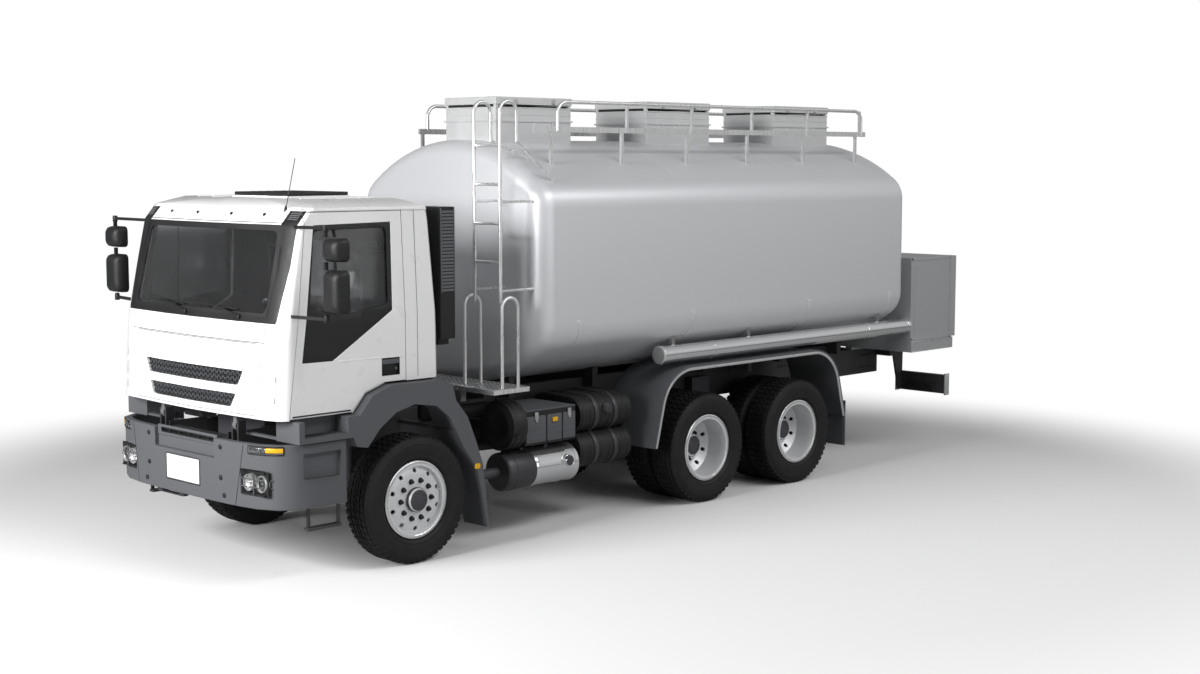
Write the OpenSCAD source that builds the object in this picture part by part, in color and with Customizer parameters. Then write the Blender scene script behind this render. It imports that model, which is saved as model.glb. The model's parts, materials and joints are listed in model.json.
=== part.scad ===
// Tanker truck: a three-axle rigid chassis with a forward-control tilt cab and an oval tank.
// Millimetres. +Z is up, the front faces -Y and +X is the truck's left, the driver's side.
// The origin lies on the ground under the middle of the truck's length and width.
// Inside the modules y is measured from the front axle; from_front_axle() shifts it to the origin.

/* [Layout] */
// Front axle to first driven axle
wheelbase = 3550; // [3400:50:4300]
// First to second driven axle
tandem_spacing = 1380; // [1350:10:1450]
// Front axle to the front of the bumper
front_overhang = 1400; // [1400:10:1450]
// Last axle to the rear door
rear_overhang = 2790; // [2700:10:3000]
// Half of the width over body and tyres
half_width = 1250; // [1245:5:1275]

/* [Wheels] */
// Tyre outer radius
tyre_r = 525; // [500:5:530]
// Width of one tyre
tyre_w = 300; // [280:5:305]
// Radius of the tyre's bead and of the rim's outside
bead_r = 286; // [280:1:292]
// Rim flange radius
flange_r = 316; // [310:1:322]
// Thickness of the wheel disc
disc_t = 14; // [10:1:18]
// Front tyre centre from the middle of the truck
front_track_half = 1080; // [1070:5:1090]
// Centre of a twin pair from the middle of the truck
rear_track_half = 927; // [915:1:935]
// Distance between the two tyres of a twin pair
twin_spacing = 338; // [330:1:345]
// Kingpin from the middle of the truck
kingpin_x = 890; // [880:5:895]
// Kingpin radius
kingpin_r = 22; // [18:1:25]
// Wheel spindle radius
spindle_r = 45; // [40:1:50]

/* [Frame] */
// Outer face of a frame rail from the middle
rail_x = 430; // [420:5:440]
// Rail flange width
rail_w = 80; // [70:5:90]
// Rail plate thickness
rail_t = 10; // [8:1:14]
// Rail underside above the ground
rail_z0 = 850; // [840:5:860]
// Rail top above the ground
rail_z1 = 1130; // [1120:5:1135]
// Height of the tank's subframe rails
subframe_h = 80; // [60:5:90]

/* [Cab] */
// Half of the cab's width
cab_half_w = 1150; // [1140:5:1160]
// Thickness of the cab walls
cab_wall = 60; // [55:1:65]
// Thickness of the doors
door_t = 45; // [35:1:48]
// Gap round doors, flap and hatch
panel_gap = 6; // [5:0.5:8]
// Width of the seal lip behind a door or flap
lip_w = 22; // [15:1:30]
// Half width of the windscreen opening
screen_half_w = 1000; // [950:5:1010]
// Windscreen opening, lower edge
screen_z0 = 2045; // [2035:5:2060]
// Windscreen opening, upper edge
screen_z1 = 2745; // [2700:5:2760]
// Glass thickness
glass_t = 8; // [6:1:10]
// Half width of the grille flap
flap_half_w = 840; // [780:5:860]
// Grille flap, lower edge
flap_z0 = 1310; // [1305:5:1330]
// Grille flap, upper edge
flap_z1 = 1855; // [1820:5:1865]
// Thickness of the grille flap
flap_t = 42; // [30:1:48]
// Steering wheel radius
steering_r = 230; // [210:5:240]

/* [Tank] */
// Tank underside above the ground
tank_z0 = 1240; // [1235:5:1260]
// Tank top above the ground
tank_z1 = 3430; // [3380:10:3450]
// Radius of the crown and of the belly
crown_r = 1930; // [1900:10:2000]
// Radius of the tank's four long corners
corner_r = 280; // [240:10:300]
// Front end of the straight shell, from the front axle
shell_y0 = 1520; // [1500:10:1560]
// Rear end of the straight shell, from the front axle
shell_y1 = 6610; // [6500:10:6640]
// Radius where a head turns into the shell
knuckle_r = 150; // [120:5:160]
// Height of a head's dish beyond its knuckle
dish_h = 80; // [60:5:90]

/* [Tank top] */
// Front end of the first filling box
box_y0 = 1665; // [1650:5:1700]
// Length of a filling box
box_l = 935; // [880:5:950]
// Distance between filling boxes
box_pitch = 1960; // [1900:5:1965]
// Half width of a filling box
box_half_w = 340; // [320:5:360]
// Height of a box's rim above the ground
box_z1 = 3722; // [3700:2:3730]
// Thickness of a box's walls
box_wall = 20; // [12:1:25]
// Height of the lugs that hold a lid off its box
lug_h = 22; // [15:1:30]
// Lid thickness
lid_t = 70; // [60:1:74]
// Handrail distance from the middle
handrail_x = 880; // [860:5:890]
// Handrail tube radius
handrail_r = 17; // [14:1:20]
// Handrail height above the ground
handrail_z = 3757; // [3740:1:3770]
// Toe board height above the ground
board_z = 3490; // [3480:5:3500]

/* [Rear cabinet] */
// Front wall of the cabinet from the front axle
cabinet_y0 = 6890; // [6885:5:6920]
// Cabinet floor above the ground
cabinet_z0 = 1283; // [1270:1:1300]
// Cabinet top above the ground
cabinet_z1 = 2190; // [2100:10:2300]
// Thickness of cabinet walls and door
cabinet_wall = 25; // [20:1:30]

/* [Fits] */
// Gap where one piece rests on another
seat_gap = 0.3; // [0.2:0.05:0.4]
// Radial running gap of kingpins and spindles
running_gap = 0.3; // [0.1:0.05:0.4]

/* [Hidden] */

$fn = 48;
overall_length = front_overhang + wheelbase + tandem_spacing + rear_overhang;
front_axle_y = front_overhang - overall_length / 2;
mid_axle_y = wheelbase;
rear_axle_y = wheelbase + tandem_spacing;
rear_end_y = rear_axle_y + rear_overhang;
bogie_y = wheelbase + tandem_spacing / 2;
axle_z = tyre_r;
rail_inner_x = rail_x - rail_w;
rail_end_y = rear_end_y - 320;
subframe_z1 = rail_z1 + subframe_h;
tank_mid_z = (tank_z0 + tank_z1) / 2;
tank_half_w = half_width;

// ---- helpers ----

module from_front_axle() {
    translate([0, front_axle_y, 0])
        children();
}

module both_sides() {
    children();
    mirror([1, 0, 0])
        children();
}

// Mirrors its children to the right-hand side where side is -1.
module sided(side) {
    mirror([side < 0 ? 1 : 0, 0, 0])
        children();
}

// A box between two corners.
module block(low, high) {
    translate(low)
        cube(high - low);
}

// A round rod between two points.
module rod(from, to, r) {
    d = to - from;
    translate(from)
        rotate([0, acos(d.z / norm(d)), atan2(d.y, d.x)])
            cylinder(r = r, h = norm(d));
}

// A round tube bent in the plane x, about a (y, z) centre, from angle a0 to a1.
module side_bend(x, centre, bend, a0, a1, r) {
    translate([x, 0, 0])
        rotate([90, 0, 90])
            translate(centre)
                rotate([0, 0, a0])
                    rotate_extrude(angle = a1 - a0)
                        translate([bend, 0])
                            circle(r = r);
}

// A chain of rods with round corners through a list of points.
module bent_rod(points, r) {
    for (i = [1 : len(points) - 1])
        rod(points[i - 1], points[i], r);
    for (i = [1 : len(points) - 2])
        translate(points[i])
            sphere(r = r);
}

// Draws a (y, z) outline and gives it a thickness along x.
module side_plate(x0, x1) {
    translate([x0, 0, 0])
        rotate([90, 0, 90])
            linear_extrude(x1 - x0)
                children();
}

// Draws an (x, z) outline and gives it a thickness along y.
module cross_plate(y0, y1) {
    translate([0, y1, 0])
        rotate([90, 0, 0])
            linear_extrude(y1 - y0)
                children();
}

function arc(cx, cy, r, a0, a1, steps) =
    [for (i = [0 : steps]) let (a = a0 + (a1 - a0) * i / steps) [cx + r * cos(a), cy + r * sin(a)]];

// ---- chassis ----

module frame_rail() {
    // A channel, open towards the middle of the truck.
    side_plate(rail_x - rail_t, rail_x)
        polygon([[-1250, rail_z0 + 60], [-900, rail_z0], [rail_end_y, rail_z0],
                 [rail_end_y, rail_z1], [-1250, rail_z1]]);
    for (z = [rail_z0, rail_z1 - rail_t])
        block([rail_inner_x, -900, z], [rail_x, rail_end_y, z + rail_t]);
}

module cross_members() {
    // y of the centre, height of the member's underside
    for (member = [[-1210, 960], [1250, 960], [2350, 960], [bogie_y, 940], [5700, 960],
                   [rail_end_y - 60, 900]])
        block([-rail_x + rail_t, member[0] - 40, member[1]],
              [rail_x - rail_t, member[0] + 40, rail_z1 - 40]);
}

module subframe() {
    both_sides()
        block([rail_inner_x, shell_y0 - 100, rail_z1], [rail_x, shell_y1 + 90, subframe_z1]);
    // Saddles that cradle the tank.
    for (y = [shell_y0 + 120, shell_y0 + 1180, bogie_y + 40, shell_y1 - 1120, shell_y1 - 110])
        difference() {
            block([-560, y - 35, rail_z1], [560, y + 35, tank_z0 + 130]);
            cross_plate(y - 50, y + 50)
                polygon(tank_outline(-seat_gap));
        }
}

module underrun_half() {
    bar_y = rear_end_y - 100;
    block([550, bar_y, 640], [1205, bar_y + 60, 850]);
    for (x = [540, 1195])
        block([x, bar_y - 10, 625], [x + 15, bar_y + 70, 865]);
    // Arm from the end of the rail down to the bar.
    side_plate(600, 625)
        polygon([[bar_y - 190, rail_z1], [bar_y + 10, rail_z1], [bar_y, 650], [bar_y - 60, 650]]);
    block([rail_x, bar_y - 250, rail_z1 - 90], [625, bar_y - 100, rail_z1 - 30]);
}

module chassis_frame() {
    color("#1c1d1f")
        from_front_axle() {
            both_sides() {
                frame_rail();
                underrun_half();
            }
            cross_members();
            subframe();
            both_sides() {
                tilt_fork();
                // Post that the back of the cab rests on.
                block([rail_x - 1, 120, 1050], [rail_x + 100, 200, arch_line[2].y - seat_gap]);
            }
        }
}

module engine_block() {
    color("#5c5f63")
        from_front_axle() {
            block([-335, -850, 530], [335, 550, 1450]);
            // Gearbox behind the engine.
            block([-170, 550, 530], [170, 1050, 860]);
            // Mounting feet on the rails.
            for (y = [-600, 350])
                for (side = [-1, 1])
                    block([min(side * 335, side * (rail_x - rail_t)), y - 50, 900],
                          [max(side * 335, side * (rail_x - rail_t)), y + 50, 960]);
        }
}

// ---- axles ----

module front_axle() {
    boss_r = 48;
    color("#232426")
        from_front_axle() {
            // Dropped beam with a kingpin at each end.
            block([-780, -45, 430], [780, 45, 520]);
            both_sides() {
                block([740, -45, 468], [kingpin_x - 20, 45, 540]);
                translate([kingpin_x, 0, axle_z - 65])
                    cylinder(r = boss_r, h = 130);
                translate([kingpin_x, 0, axle_z - 130])
                    cylinder(r = kingpin_r, h = 260);
                // Leaf spring: half length, underside of the leaf
                for (leaf = [[740, 665], [520, 645], [300, 625]])
                    block([365, -leaf[0], leaf[1]], [rail_x, leaf[0], leaf[1] + 20]);
                block([365, -90, 500], [rail_x, 90, 640]);
                for (y = [-710, 710])
                    block([375, y - 30, 670], [425, y + 30, rail_z0]);
            }
        }
}

module axle_tube(y) {
    drum_x = rear_track_half - twin_spacing / 2 - tyre_w / 2 - 40;
    tube_end = rear_track_half - 60;
    rod([-tube_end, y, axle_z], [tube_end, y, axle_z], 70);
    // Differential housing.
    translate([0, y, axle_z])
        rotate([0, 90, 0])
            rotate_extrude()
                polygon([[0, -230], [150, -200], [215, -100], [215, 100], [150, 200], [0, 230]]);
    both_sides() {
        // Brake drum, wheel spindle and spring seat.
        rod([drum_x, y, axle_z], [drum_x + 60, y, axle_z], 200);
        rod([tube_end - 1, y, axle_z], [rear_track_half + 90, y, axle_z], spindle_r);
        block([445, y - 70, axle_z + 40], [530, y + 70, 660]);
    }
}

module rear_axles() {
    color("#232426")
        from_front_axle() {
            for (y = [mid_axle_y, rear_axle_y])
                axle_tube(y);
            both_sides() {
                // Leaf pack, thick in the middle: half length, underside of the leaf
                for (leaf = [[780, 660], [620, 690], [460, 720], [300, 750]])
                    block([445, bogie_y - leaf[0], leaf[1]], [530, bogie_y + leaf[0], leaf[1] + 30]);
                block([rail_x, bogie_y - 130, 780], [530, bogie_y + 130, 1080]);
            }
            // Propeller shafts: gearbox to first axle, first axle to second.
            rod([0, 1052, 640], [0, mid_axle_y - 190, axle_z + 40], 50);
            rod([0, mid_axle_y + 190, axle_z + 30], [0, rear_axle_y - 190, axle_z + 30], 45);
        }
}

module knuckle() {
    ear_h = 50;
    web_x = kingpin_x + 55;
    ear_z = 72;
    difference() {
        union() {
            // Brake drum and spindle, then the two ears that hold the kingpin.
            translate([web_x, 0, axle_z])
                rotate([0, 90, 0])
                    cylinder(r = 200, h = 70);
            rod([web_x + 60, 0, axle_z], [front_track_half + 145, 0, axle_z], spindle_r);
            for (z = [axle_z + ear_z, axle_z - ear_z - ear_h]) {
                translate([kingpin_x, 0, z])
                    cylinder(r = 46, h = ear_h);
                block([kingpin_x, -46, z], [web_x + 5, 46, z + ear_h]);
            }
        }
        translate([kingpin_x, 0, axle_z - 200])
            cylinder(r = kingpin_r + running_gap, h = 400);
    }
}

module left_knuckle() {
    color("#2a2b2d")
        from_front_axle()
            knuckle();
}

module right_knuckle() {
    color("#2a2b2d")
        from_front_axle()
            mirror([1, 0, 0])
                knuckle();
}

// ---- wheels ----

// Tyre section as (radius, distance from the tyre's middle plane).
module tyre() {
    w = tyre_w / 2;
    rotate([0, 90, 0])
        rotate_extrude($fn = 96)
            polygon(concat(
                [[bead_r + seat_gap, -w + 46], [bead_r + seat_gap, w - 46], [flange_r + 5, w - 40],
                 [flange_r + 12, w - 20]],
                [[(bead_r + tyre_r) / 2 + 10, w], [tyre_r - 45, w - 6], [tyre_r - 12, w - 20],
                 [tyre_r, w - 42], [tyre_r, -w + 42], [tyre_r - 12, -w + 20],
                 [tyre_r - 45, -w + 6], [(bead_r + tyre_r) / 2 + 10, -w]],
                [[flange_r + 12, -w + 20], [flange_r + 5, -w + 40]]));
}

// Rim with its disc, outer side towards +X. Places along x are from the rim's middle plane:
// face is the disc's outer face, join is where the disc meets the barrel.
module rim(face, join) {
    w = tyre_w / 2;
    hub_r = spindle_r + running_gap;
    difference() {
        rotate([0, 90, 0])
            rotate_extrude($fn = 96)
                union() {
                    // Barrel with its two flanges.
                    polygon([[bead_r - 12, -w + 25], [flange_r, -w + 25], [flange_r, -w + 33],
                             [bead_r, -w + 40], [bead_r, w - 40], [flange_r, w - 33],
                             [flange_r, w - 25], [bead_r - 12, w - 25]]);
                    // Disc with the cone that joins it to the barrel.
                    polygon([[bead_r - 10, join - 10], [bead_r - 10, join + 10], [205, face],
                             [hub_r, face], [hub_r, face - disc_t], [200, face - disc_t]]);
                }
        // Ten hand holes.
        for (i = [0 : 9])
            rotate([i * 36, 0, 0])
                translate([min(face, join) - 40, 0, 237])
                    rotate([0, 90, 0])
                        cylinder(r = 19, h = abs(face - join) + 80);
    }
}

// Hub from x0 to x1 with a closed cap, bored for the spindle.
module hub(x0, x1, r) {
    hub_r = spindle_r + running_gap;
    rotate([0, 90, 0])
        rotate_extrude()
            polygon([[hub_r, x0], [r, x0], [r, x1 - 25], [r - 18, x1], [0, x1], [0, x1 - 14],
                     [hub_r, x1 - 14]]);
}

module front_wheel_place(side) {
    from_front_axle()
        sided(side)
            translate([front_track_half, 0, axle_z])
                children();
}

// Puts its child at both wheels of a twin pair, back to back.
module twin_place(y, side) {
    from_front_axle()
        sided(side)
            translate([rear_track_half, y, axle_z])
                for (s = [-1, 1])
                    sided(s)
                        translate([twin_spacing / 2, 0, 0])
                            children();
}

// The discs of a twin pair meet back to back on the hub.
module twin_rims(y, side) {
    color("#c9cbcd") {
        twin_place(y, side)
            rim(-twin_spacing / 2 + disc_t, -tyre_w / 2 + 45);
        from_front_axle()
            sided(side)
                translate([rear_track_half, y, axle_z])
                    hub(-45, 120, 112);
    }
}

module twin_tyres(y, side) {
    color("#17181a")
        twin_place(y, side)
            tyre();
}

module front_rim(side) {
    color("#c9cbcd")
        front_wheel_place(side) {
            rim(tyre_w / 2 - 32, tyre_w / 2 - 70);
            hub(20, tyre_w / 2 + 14, 100);
        }
}

module front_tyre(side) {
    color("#17181a")
        front_wheel_place(side)
            tyre();
}

module front_left_tyre() { front_tyre(1); }
module front_left_rim() { front_rim(1); }
module front_right_tyre() { front_tyre(-1); }
module front_right_rim() { front_rim(-1); }
module mid_left_tyres() { twin_tyres(mid_axle_y, 1); }
module mid_left_rims() { twin_rims(mid_axle_y, 1); }
module mid_right_tyres() { twin_tyres(mid_axle_y, -1); }
module mid_right_rims() { twin_rims(mid_axle_y, -1); }
module rear_left_tyres() { twin_tyres(rear_axle_y, 1); }
module rear_left_rims() { twin_rims(rear_axle_y, 1); }
module rear_right_tyres() { twin_tyres(rear_axle_y, -1); }
module rear_right_rims() { twin_rims(rear_axle_y, -1); }

// ---- bumper, fenders and mudguards ----

// Half of the bumper's plan, from the middle to the rear end of its side.
bumper_plan = [[0, 8 - front_overhang], [400, 10 - front_overhang], [700, -1375], [930, -1340], [1100, -1262], [1180, -1150],
               [1205, -1000], [1205, -690]];
bumper_z0 = 600;
bumper_z1 = 1100;
bumper_t = 60;
beam_y1 = -1250;
plate_half_w = 245;
plate_z0 = 700;
plate_z1 = 915;

module bumper_shape() {
    mirrored = [for (i = [len(bumper_plan) - 1 : -1 : 1]) [-bumper_plan[i].x, bumper_plan[i].y]];
    polygon(concat(mirrored, bumper_plan));
}

module bumper() {
    color("#2b2d30")
        from_front_axle() {
            difference() {
                translate([0, 0, bumper_z0])
                    linear_extrude(bumper_z1 - bumper_z0)
                        difference() {
                            bumper_shape();
                            translate([0, 1])
                                offset(delta = -bumper_t)
                                    bumper_shape();
                            translate([-1100, -1000])
                                square([2200, 400]);
                        }
                // Middle air intake, lamp recesses and side steps.
                block([-430, -1500, 945], [430, -1300, bumper_z1 + 10]);
                both_sides() {
                    block([760, -1500, 700], [1060, -1305, 900]);
                    block([1165, -1080, 830], [1300, -740, 1020]);
                }
            }
            // Flat holder for the number plate.
            block([-plate_half_w, -front_overhang, plate_z0], [plate_half_w, -1350, plate_z1]);
            // Beam behind the bumper that ties it to the rails.
            block([-600, -1345, 900], [600, beam_y1, 1040]);
        }
}

// The line that the door's bottom and the cab's underside follow over the wheel.
arch_line = [[-585, 1287], [-459, 1430], [-264, 1494]];
arch_gap = 12;

module fender_side() {
    outer = [for (p = arch_line) [p.x + 9, p.y - arch_gap]];
    side_plate(935, 1235)
        polygon(concat(
            [[-1150, 1275], outer[0], outer[1], outer[2]],
            [[262, 1478], [371, 1425], [407, 1292], [529, 1146], [615, 944], [689, 742],
             [726, 486], [751, 192], [735, 192], [680, 500], [625, 715], [490, 890], [404, 1045],
             [330, 1170], [199, 1270], [-27, 1307], [-215, 1262], [-378, 1152], [-505, 1012],
             [-600, 1030], [-640, 1108], [-1150, 1108]]));
}

module front_fenders() {
    color("#303236")
        from_front_axle()
            both_sides() {
                difference() {
                    fender_side();
                    // Upper step.
                    block([1060, -1100, 1150], [1300, -690, 1300]);
                    // Wheel side of the fender is open up to a thin outer skin.
                    side_plate(900, 1195)
                        polygon([[-480, 1000], [-345, 1175], [-205, 1290], [-20, 1340],
                                 [215, 1320], [362, 1190], [420, 1050], [300, 900], [-300, 900]]);
                }
                // Stays to the frame.
                block([rail_x, 450, 1018], [940, 480, 1048]);
                block([rail_x, -1140, 1112], [940, -1100, 1130]);
            }
}

guard_top = 1330;
guard_t = 16;
guard_x0 = 610;
guard_bend = 430;

function guard_line(inset) =
    concat([[mid_axle_y - 768 + inset, 604]],
           arc(mid_axle_y - 250, guard_top - guard_bend, guard_bend - inset, 165, 90, 8),
           arc(rear_axle_y + 250, guard_top - guard_bend, guard_bend - inset, 90, 15, 8),
           [[rear_axle_y + 775 - inset, 604]]);

module rear_mudguards() {
    inner = guard_line(guard_t);
    color("#303236")
        from_front_axle()
            both_sides() {
                side_plate(guard_x0, half_width)
                    polygon(concat(guard_line(0), [for (i = [len(inner) - 1 : -1 : 0]) inner[i]]));
                // Stays from the rails to the underside of the guard's flat top.
                for (y = [mid_axle_y + 120, rear_axle_y - 120])
                    block([rail_x, y - 25, 1095], [700, y + 25, 1125]);
                for (y = [mid_axle_y + 120, rear_axle_y - 120])
                    block([640, y - 25, 1110], [700, y + 25, guard_top - guard_t]);
                // Rear flap.
                block([guard_x0 + 20, rear_axle_y + 775, 290],
                      [half_width - 10, rear_axle_y + 787, 760]);
            }
}

// ---- tank ----

// Tank section as (x, z) points; inset moves the whole outline inwards.
function tank_outline(inset) =
    let (cx = tank_half_w - corner_r,
         rise = sqrt(pow(crown_r - corner_r, 2) - pow(cx, 2)),
         top_z = tank_z1 - crown_r + rise,
         low_z = tank_z0 + crown_r - rise,
         tilt = atan2(rise, cx),
         r = corner_r - inset,
         big = crown_r - inset)
    concat(arc(cx, low_z, r, -tilt, 0, 6),
           arc(cx, top_z, r, 0, tilt, 6),
           arc(0, tank_z1 - crown_r, big, tilt + 6, 174 - tilt, 12),
           arc(-cx, top_z, r, 180 - tilt, 180, 6),
           arc(-cx, low_z, r, 180, 180 + tilt, 6),
           arc(0, tank_z0 + crown_r, big, 186 + tilt, 354 - tilt, 12));

// One thin slice of a head: distance out from the shell, inset, then scale about the middle.
module head_slice(out, inset, s, side) {
    y = side < 0 ? shell_y0 - out : shell_y1 + out;
    translate([0, y, tank_mid_z])
        rotate([90, 0, 0])
            linear_extrude(1)
                scale(s)
                    translate([0, -tank_mid_z])
                        polygon(tank_outline(inset));
}

module tank_body() {
    hull()
        for (side = [-1, 1]) {
            for (a = [0, 30, 60, 90])
                head_slice(knuckle_r * sin(a), knuckle_r * (1 - cos(a)), 1, side);
            // Dish: scale of the slice
            for (s = [0.8, 0.5, 0.2])
                head_slice(knuckle_r + dish_h * (1 - s * s), knuckle_r, s, side);
        }
}

module tank() {
    color("#b9bbbe")
        from_front_axle() {
            tank_body();
            // Outlet pipes that end in the rear cabinet, each with a cap.
            for (x = [-500, 0, 500]) {
                rod([x, shell_y1 - 100, 1480], [x, cabinet_y0 + 240, 1480], 50);
                rod([x, cabinet_y0 + 180, 1480], [x, cabinet_y0 + 230, 1480], 85);
                rod([x, cabinet_y0 + 240, 1480], [x, cabinet_y0 + 300, 1480], 72);
            }
        }
}

module hose_tubes() {
    r = 84;
    x = half_width - r - 4;
    y0 = 2940;
    y1 = cabinet_y0 - 10;
    color("#d5d7d9")
        from_front_axle()
            both_sides() {
                rod([x, y0, 1455], [x, y1, 1455], r - 4);
                for (y = [y0, y0 + 700, y1 - 760, y1 - 40])
                    rod([x, y, 1455], [x, y + 40, 1455], r);
                // Hangers up to the tank.
                difference() {
                    for (y = [y0 + 200, bogie_y, y1 - 500])
                        block([x - 50, y - 20, 1500], [x - 10, y + 20, 1680]);
                    cross_plate(y0, y1)
                        polygon(tank_outline(-seat_gap));
                }
            }
}

// ---- ladder, handrails and filling boxes ----

ladder_x0 = 800;
ladder_x1 = 1125;
ladder_y = 1000;
hoop_y = 1190;

// Height of the tank's crown at a distance x from the middle.
function crown_z(x) = tank_z1 - crown_r + sqrt(crown_r * crown_r - x * x);

// A tube with one leg up at y0, a half-round top and the other leg down at y1.
module hoop(x, y0, y1, z0, top_z, z1, r) {
    bend = (y1 - y0) / 2;
    rod([x, y0, z0], [x, y0, top_z - bend], r);
    rod([x, y1, z1], [x, y1, top_z - bend], r);
    side_bend(x, [y0 + bend, top_z - bend], bend, 0, 180, r);
}

module ladder() {
    tube_r = 15;
    platform_z = 1330;
    color("#d9dbdd")
        from_front_axle() {
            hoop(ladder_x0, ladder_y, hoop_y, 2050, 3740, 3400, tube_r);
            hoop(ladder_x1, ladder_y, hoop_y, 2050, 3740, 3400, tube_r);
            for (z = [2390, 2715, 3045, 3370])
                rod([ladder_x0, ladder_y, z], [ladder_x1, ladder_y, z], 12);
            // Stays from the ladder back to the tank's head and top.
            difference() {
                union() {
                    for (x = [ladder_x0, ladder_x1]) {
                        for (z = [2150, 2900])
                            rod([x, ladder_y, z], [x, shell_y0, z], 12);
                        rod([x, hoop_y, 3410], [x, shell_y0 + 100, crown_z(x) + 5], 12);
                    }
                }
                tank_body();
            }
            // Grab handles on the platform.
            for (x = [720, 1195])
                hoop(x, 950, 1130, platform_z - 5, 2095, platform_z - 5, tube_r);
            // Platform and its brackets.
            block([-1200, 830, platform_z - 40], [1220, 1240, platform_z]);
            both_sides() {
                block([rail_inner_x, 860, rail_z1], [rail_x, 920, platform_z - 40]);
                block([rail_inner_x, 1150, rail_z1], [rail_x, 1210, platform_z - 40]);
            }
        }
}

module handrail_side() {
    post_pitch = 894;
    first_y = 1830;
    z_foot = crown_z(handrail_x) - 6;
    rail_y0 = 1900;
    rail_y1 = 6390;
    bend = 110;
    rail_x1 = handrail_x + 8;
    difference() {
        for (i = [0 : 5])
            block([handrail_x - 12, first_y + i * post_pitch - 15, z_foot - 30],
                  [handrail_x + 12, first_y + i * post_pitch + 15, board_z + 10]);
        cross_plate(first_y - 50, 6400)
            polygon(tank_outline(-seat_gap));
    }
    block([handrail_x - 12, 1790, board_z], [handrail_x + 12, 6470, board_z + 50]);
    for (i = [1 : 5])
        block([handrail_x, first_y + i * post_pitch + 45, board_z],
              [handrail_x + 22, first_y + i * post_pitch + 70, handrail_z]);
    // The rail itself, turned down to the board at both ends.
    rod([rail_x1, rail_y0, board_z + 10], [rail_x1, rail_y0, handrail_z - bend], handrail_r);
    side_bend(rail_x1, [rail_y0 + bend, handrail_z - bend], bend, 90, 180, handrail_r);
    rod([rail_x1, rail_y0 + bend, handrail_z], [rail_x1, rail_y1 - bend, handrail_z], handrail_r);
    side_bend(rail_x1, [rail_y1 - bend, handrail_z - bend], bend, 0, 90, handrail_r);
    rod([rail_x1, rail_y1, board_z + 10], [rail_x1, rail_y1, handrail_z - bend], handrail_r);
}

module handrails() {
    color("#d9dbdd")
        from_front_axle()
            both_sides()
                handrail_side();
}

module fill_box(y0) {
    y1 = y0 + box_l;
    foot_z = crown_z(box_half_w) - 20;
    difference() {
        union() {
            block([-box_half_w, y0, foot_z], [box_half_w, y1, box_z1]);
            block([-box_half_w - 14, y0 - 14, 3590], [box_half_w + 14, y1 + 14, 3606]);
        }
        block([-box_half_w + box_wall, y0 + box_wall, tank_z1 + 20],
              [box_half_w - box_wall, y1 - box_wall, box_z1 + 20]);
        cross_plate(y0 - 20, y1 + 20)
            polygon(tank_outline(-seat_gap));
    }
    // Round manhole cover on the box's floor.
    translate([0, (y0 + y1) / 2, tank_z1 + 15])
        cylinder(r = 250, h = 60);
    // Lugs that carry the lid.
    for (x = [-box_half_w, box_half_w - 30])
        for (y = [y0, y1 - 30])
            block([x, y, box_z1 - 1], [x + 30, y + 30, box_z1 + lug_h]);
}

module fill_boxes() {
    color("#c4c6c8")
        from_front_axle()
            for (i = [0 : 2])
                fill_box(box_y0 + i * box_pitch);
}

module fill_lid(i) {
    y0 = box_y0 + i * box_pitch;
    z0 = box_z1 + lug_h + seat_gap;
    color("#cdcfd1")
        from_front_axle()
            difference() {
                block([-box_half_w - 10, y0 - 10, z0],
                      [box_half_w + 10, y0 + box_l + 10, z0 + lid_t]);
                block([-box_half_w + 40, y0 + 40, z0 - 1],
                      [box_half_w - 40, y0 + box_l - 40, z0 + lid_t - 15]);
            }
}

module fill_lid_1() { fill_lid(0); }
module fill_lid_2() { fill_lid(1); }
module fill_lid_3() { fill_lid(2); }

// ---- rear cabinet ----

cabinet_half_w = half_width - 28;
cabinet_y1 = rear_end_y - cabinet_wall - 5;
door_half_w = cabinet_half_w - 70;
door_z0 = cabinet_z0 + 50;
door_z1 = cabinet_z1 - 50;
door_y0 = rear_end_y - cabinet_wall;

module cabinet() {
    w = cabinet_wall;
    color("#8b8d90")
        from_front_axle() {
            difference() {
                union() {
                    block([-cabinet_half_w, cabinet_y0, cabinet_z0],
                          [cabinet_half_w, cabinet_y1, cabinet_z1]);
                    // Raised frame round the rear door.
                    block([-half_width, cabinet_y1 - 60, cabinet_z0 + 12],
                          [half_width, rear_end_y, cabinet_z1]);
                }
                block([-cabinet_half_w + w, cabinet_y0 + w, cabinet_z0 + w],
                      [cabinet_half_w - w, door_y0 - 30, cabinet_z1 - w]);
                // Door opening, then the smaller one inside the stop lip.
                block([-door_half_w - panel_gap, door_y0 - seat_gap, door_z0 - panel_gap],
                      [door_half_w + panel_gap, rear_end_y + 10, door_z1 + panel_gap]);
                block([-door_half_w + lip_w, door_y0 - 60, door_z0 + lip_w],
                      [door_half_w - lip_w, rear_end_y + 10, door_z1 - lip_w]);
                // Holes for the outlet pipes.
                for (x = [-500, 0, 500])
                    rod([x, cabinet_y0 - 10, 1480], [x, cabinet_y0 + w + 10, 1480], 50 + seat_gap);
            }
            // Deck under the cabinet and its bearers on the rails.
            block([-half_width + 8, cabinet_y0, cabinet_z0 - 118],
                  [half_width - 8, cabinet_y1, cabinet_z0]);
            both_sides()
                block([rail_inner_x, cabinet_y0 + 20, rail_z1],
                      [rail_x, rail_end_y, cabinet_z0 - 118]);
        }
}

module cabinet_door() {
    color("#808285")
        from_front_axle() {
            block([-door_half_w, door_y0, door_z0], [door_half_w, rear_end_y, door_z1]);
        }
}

// ---- side equipment ----

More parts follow.
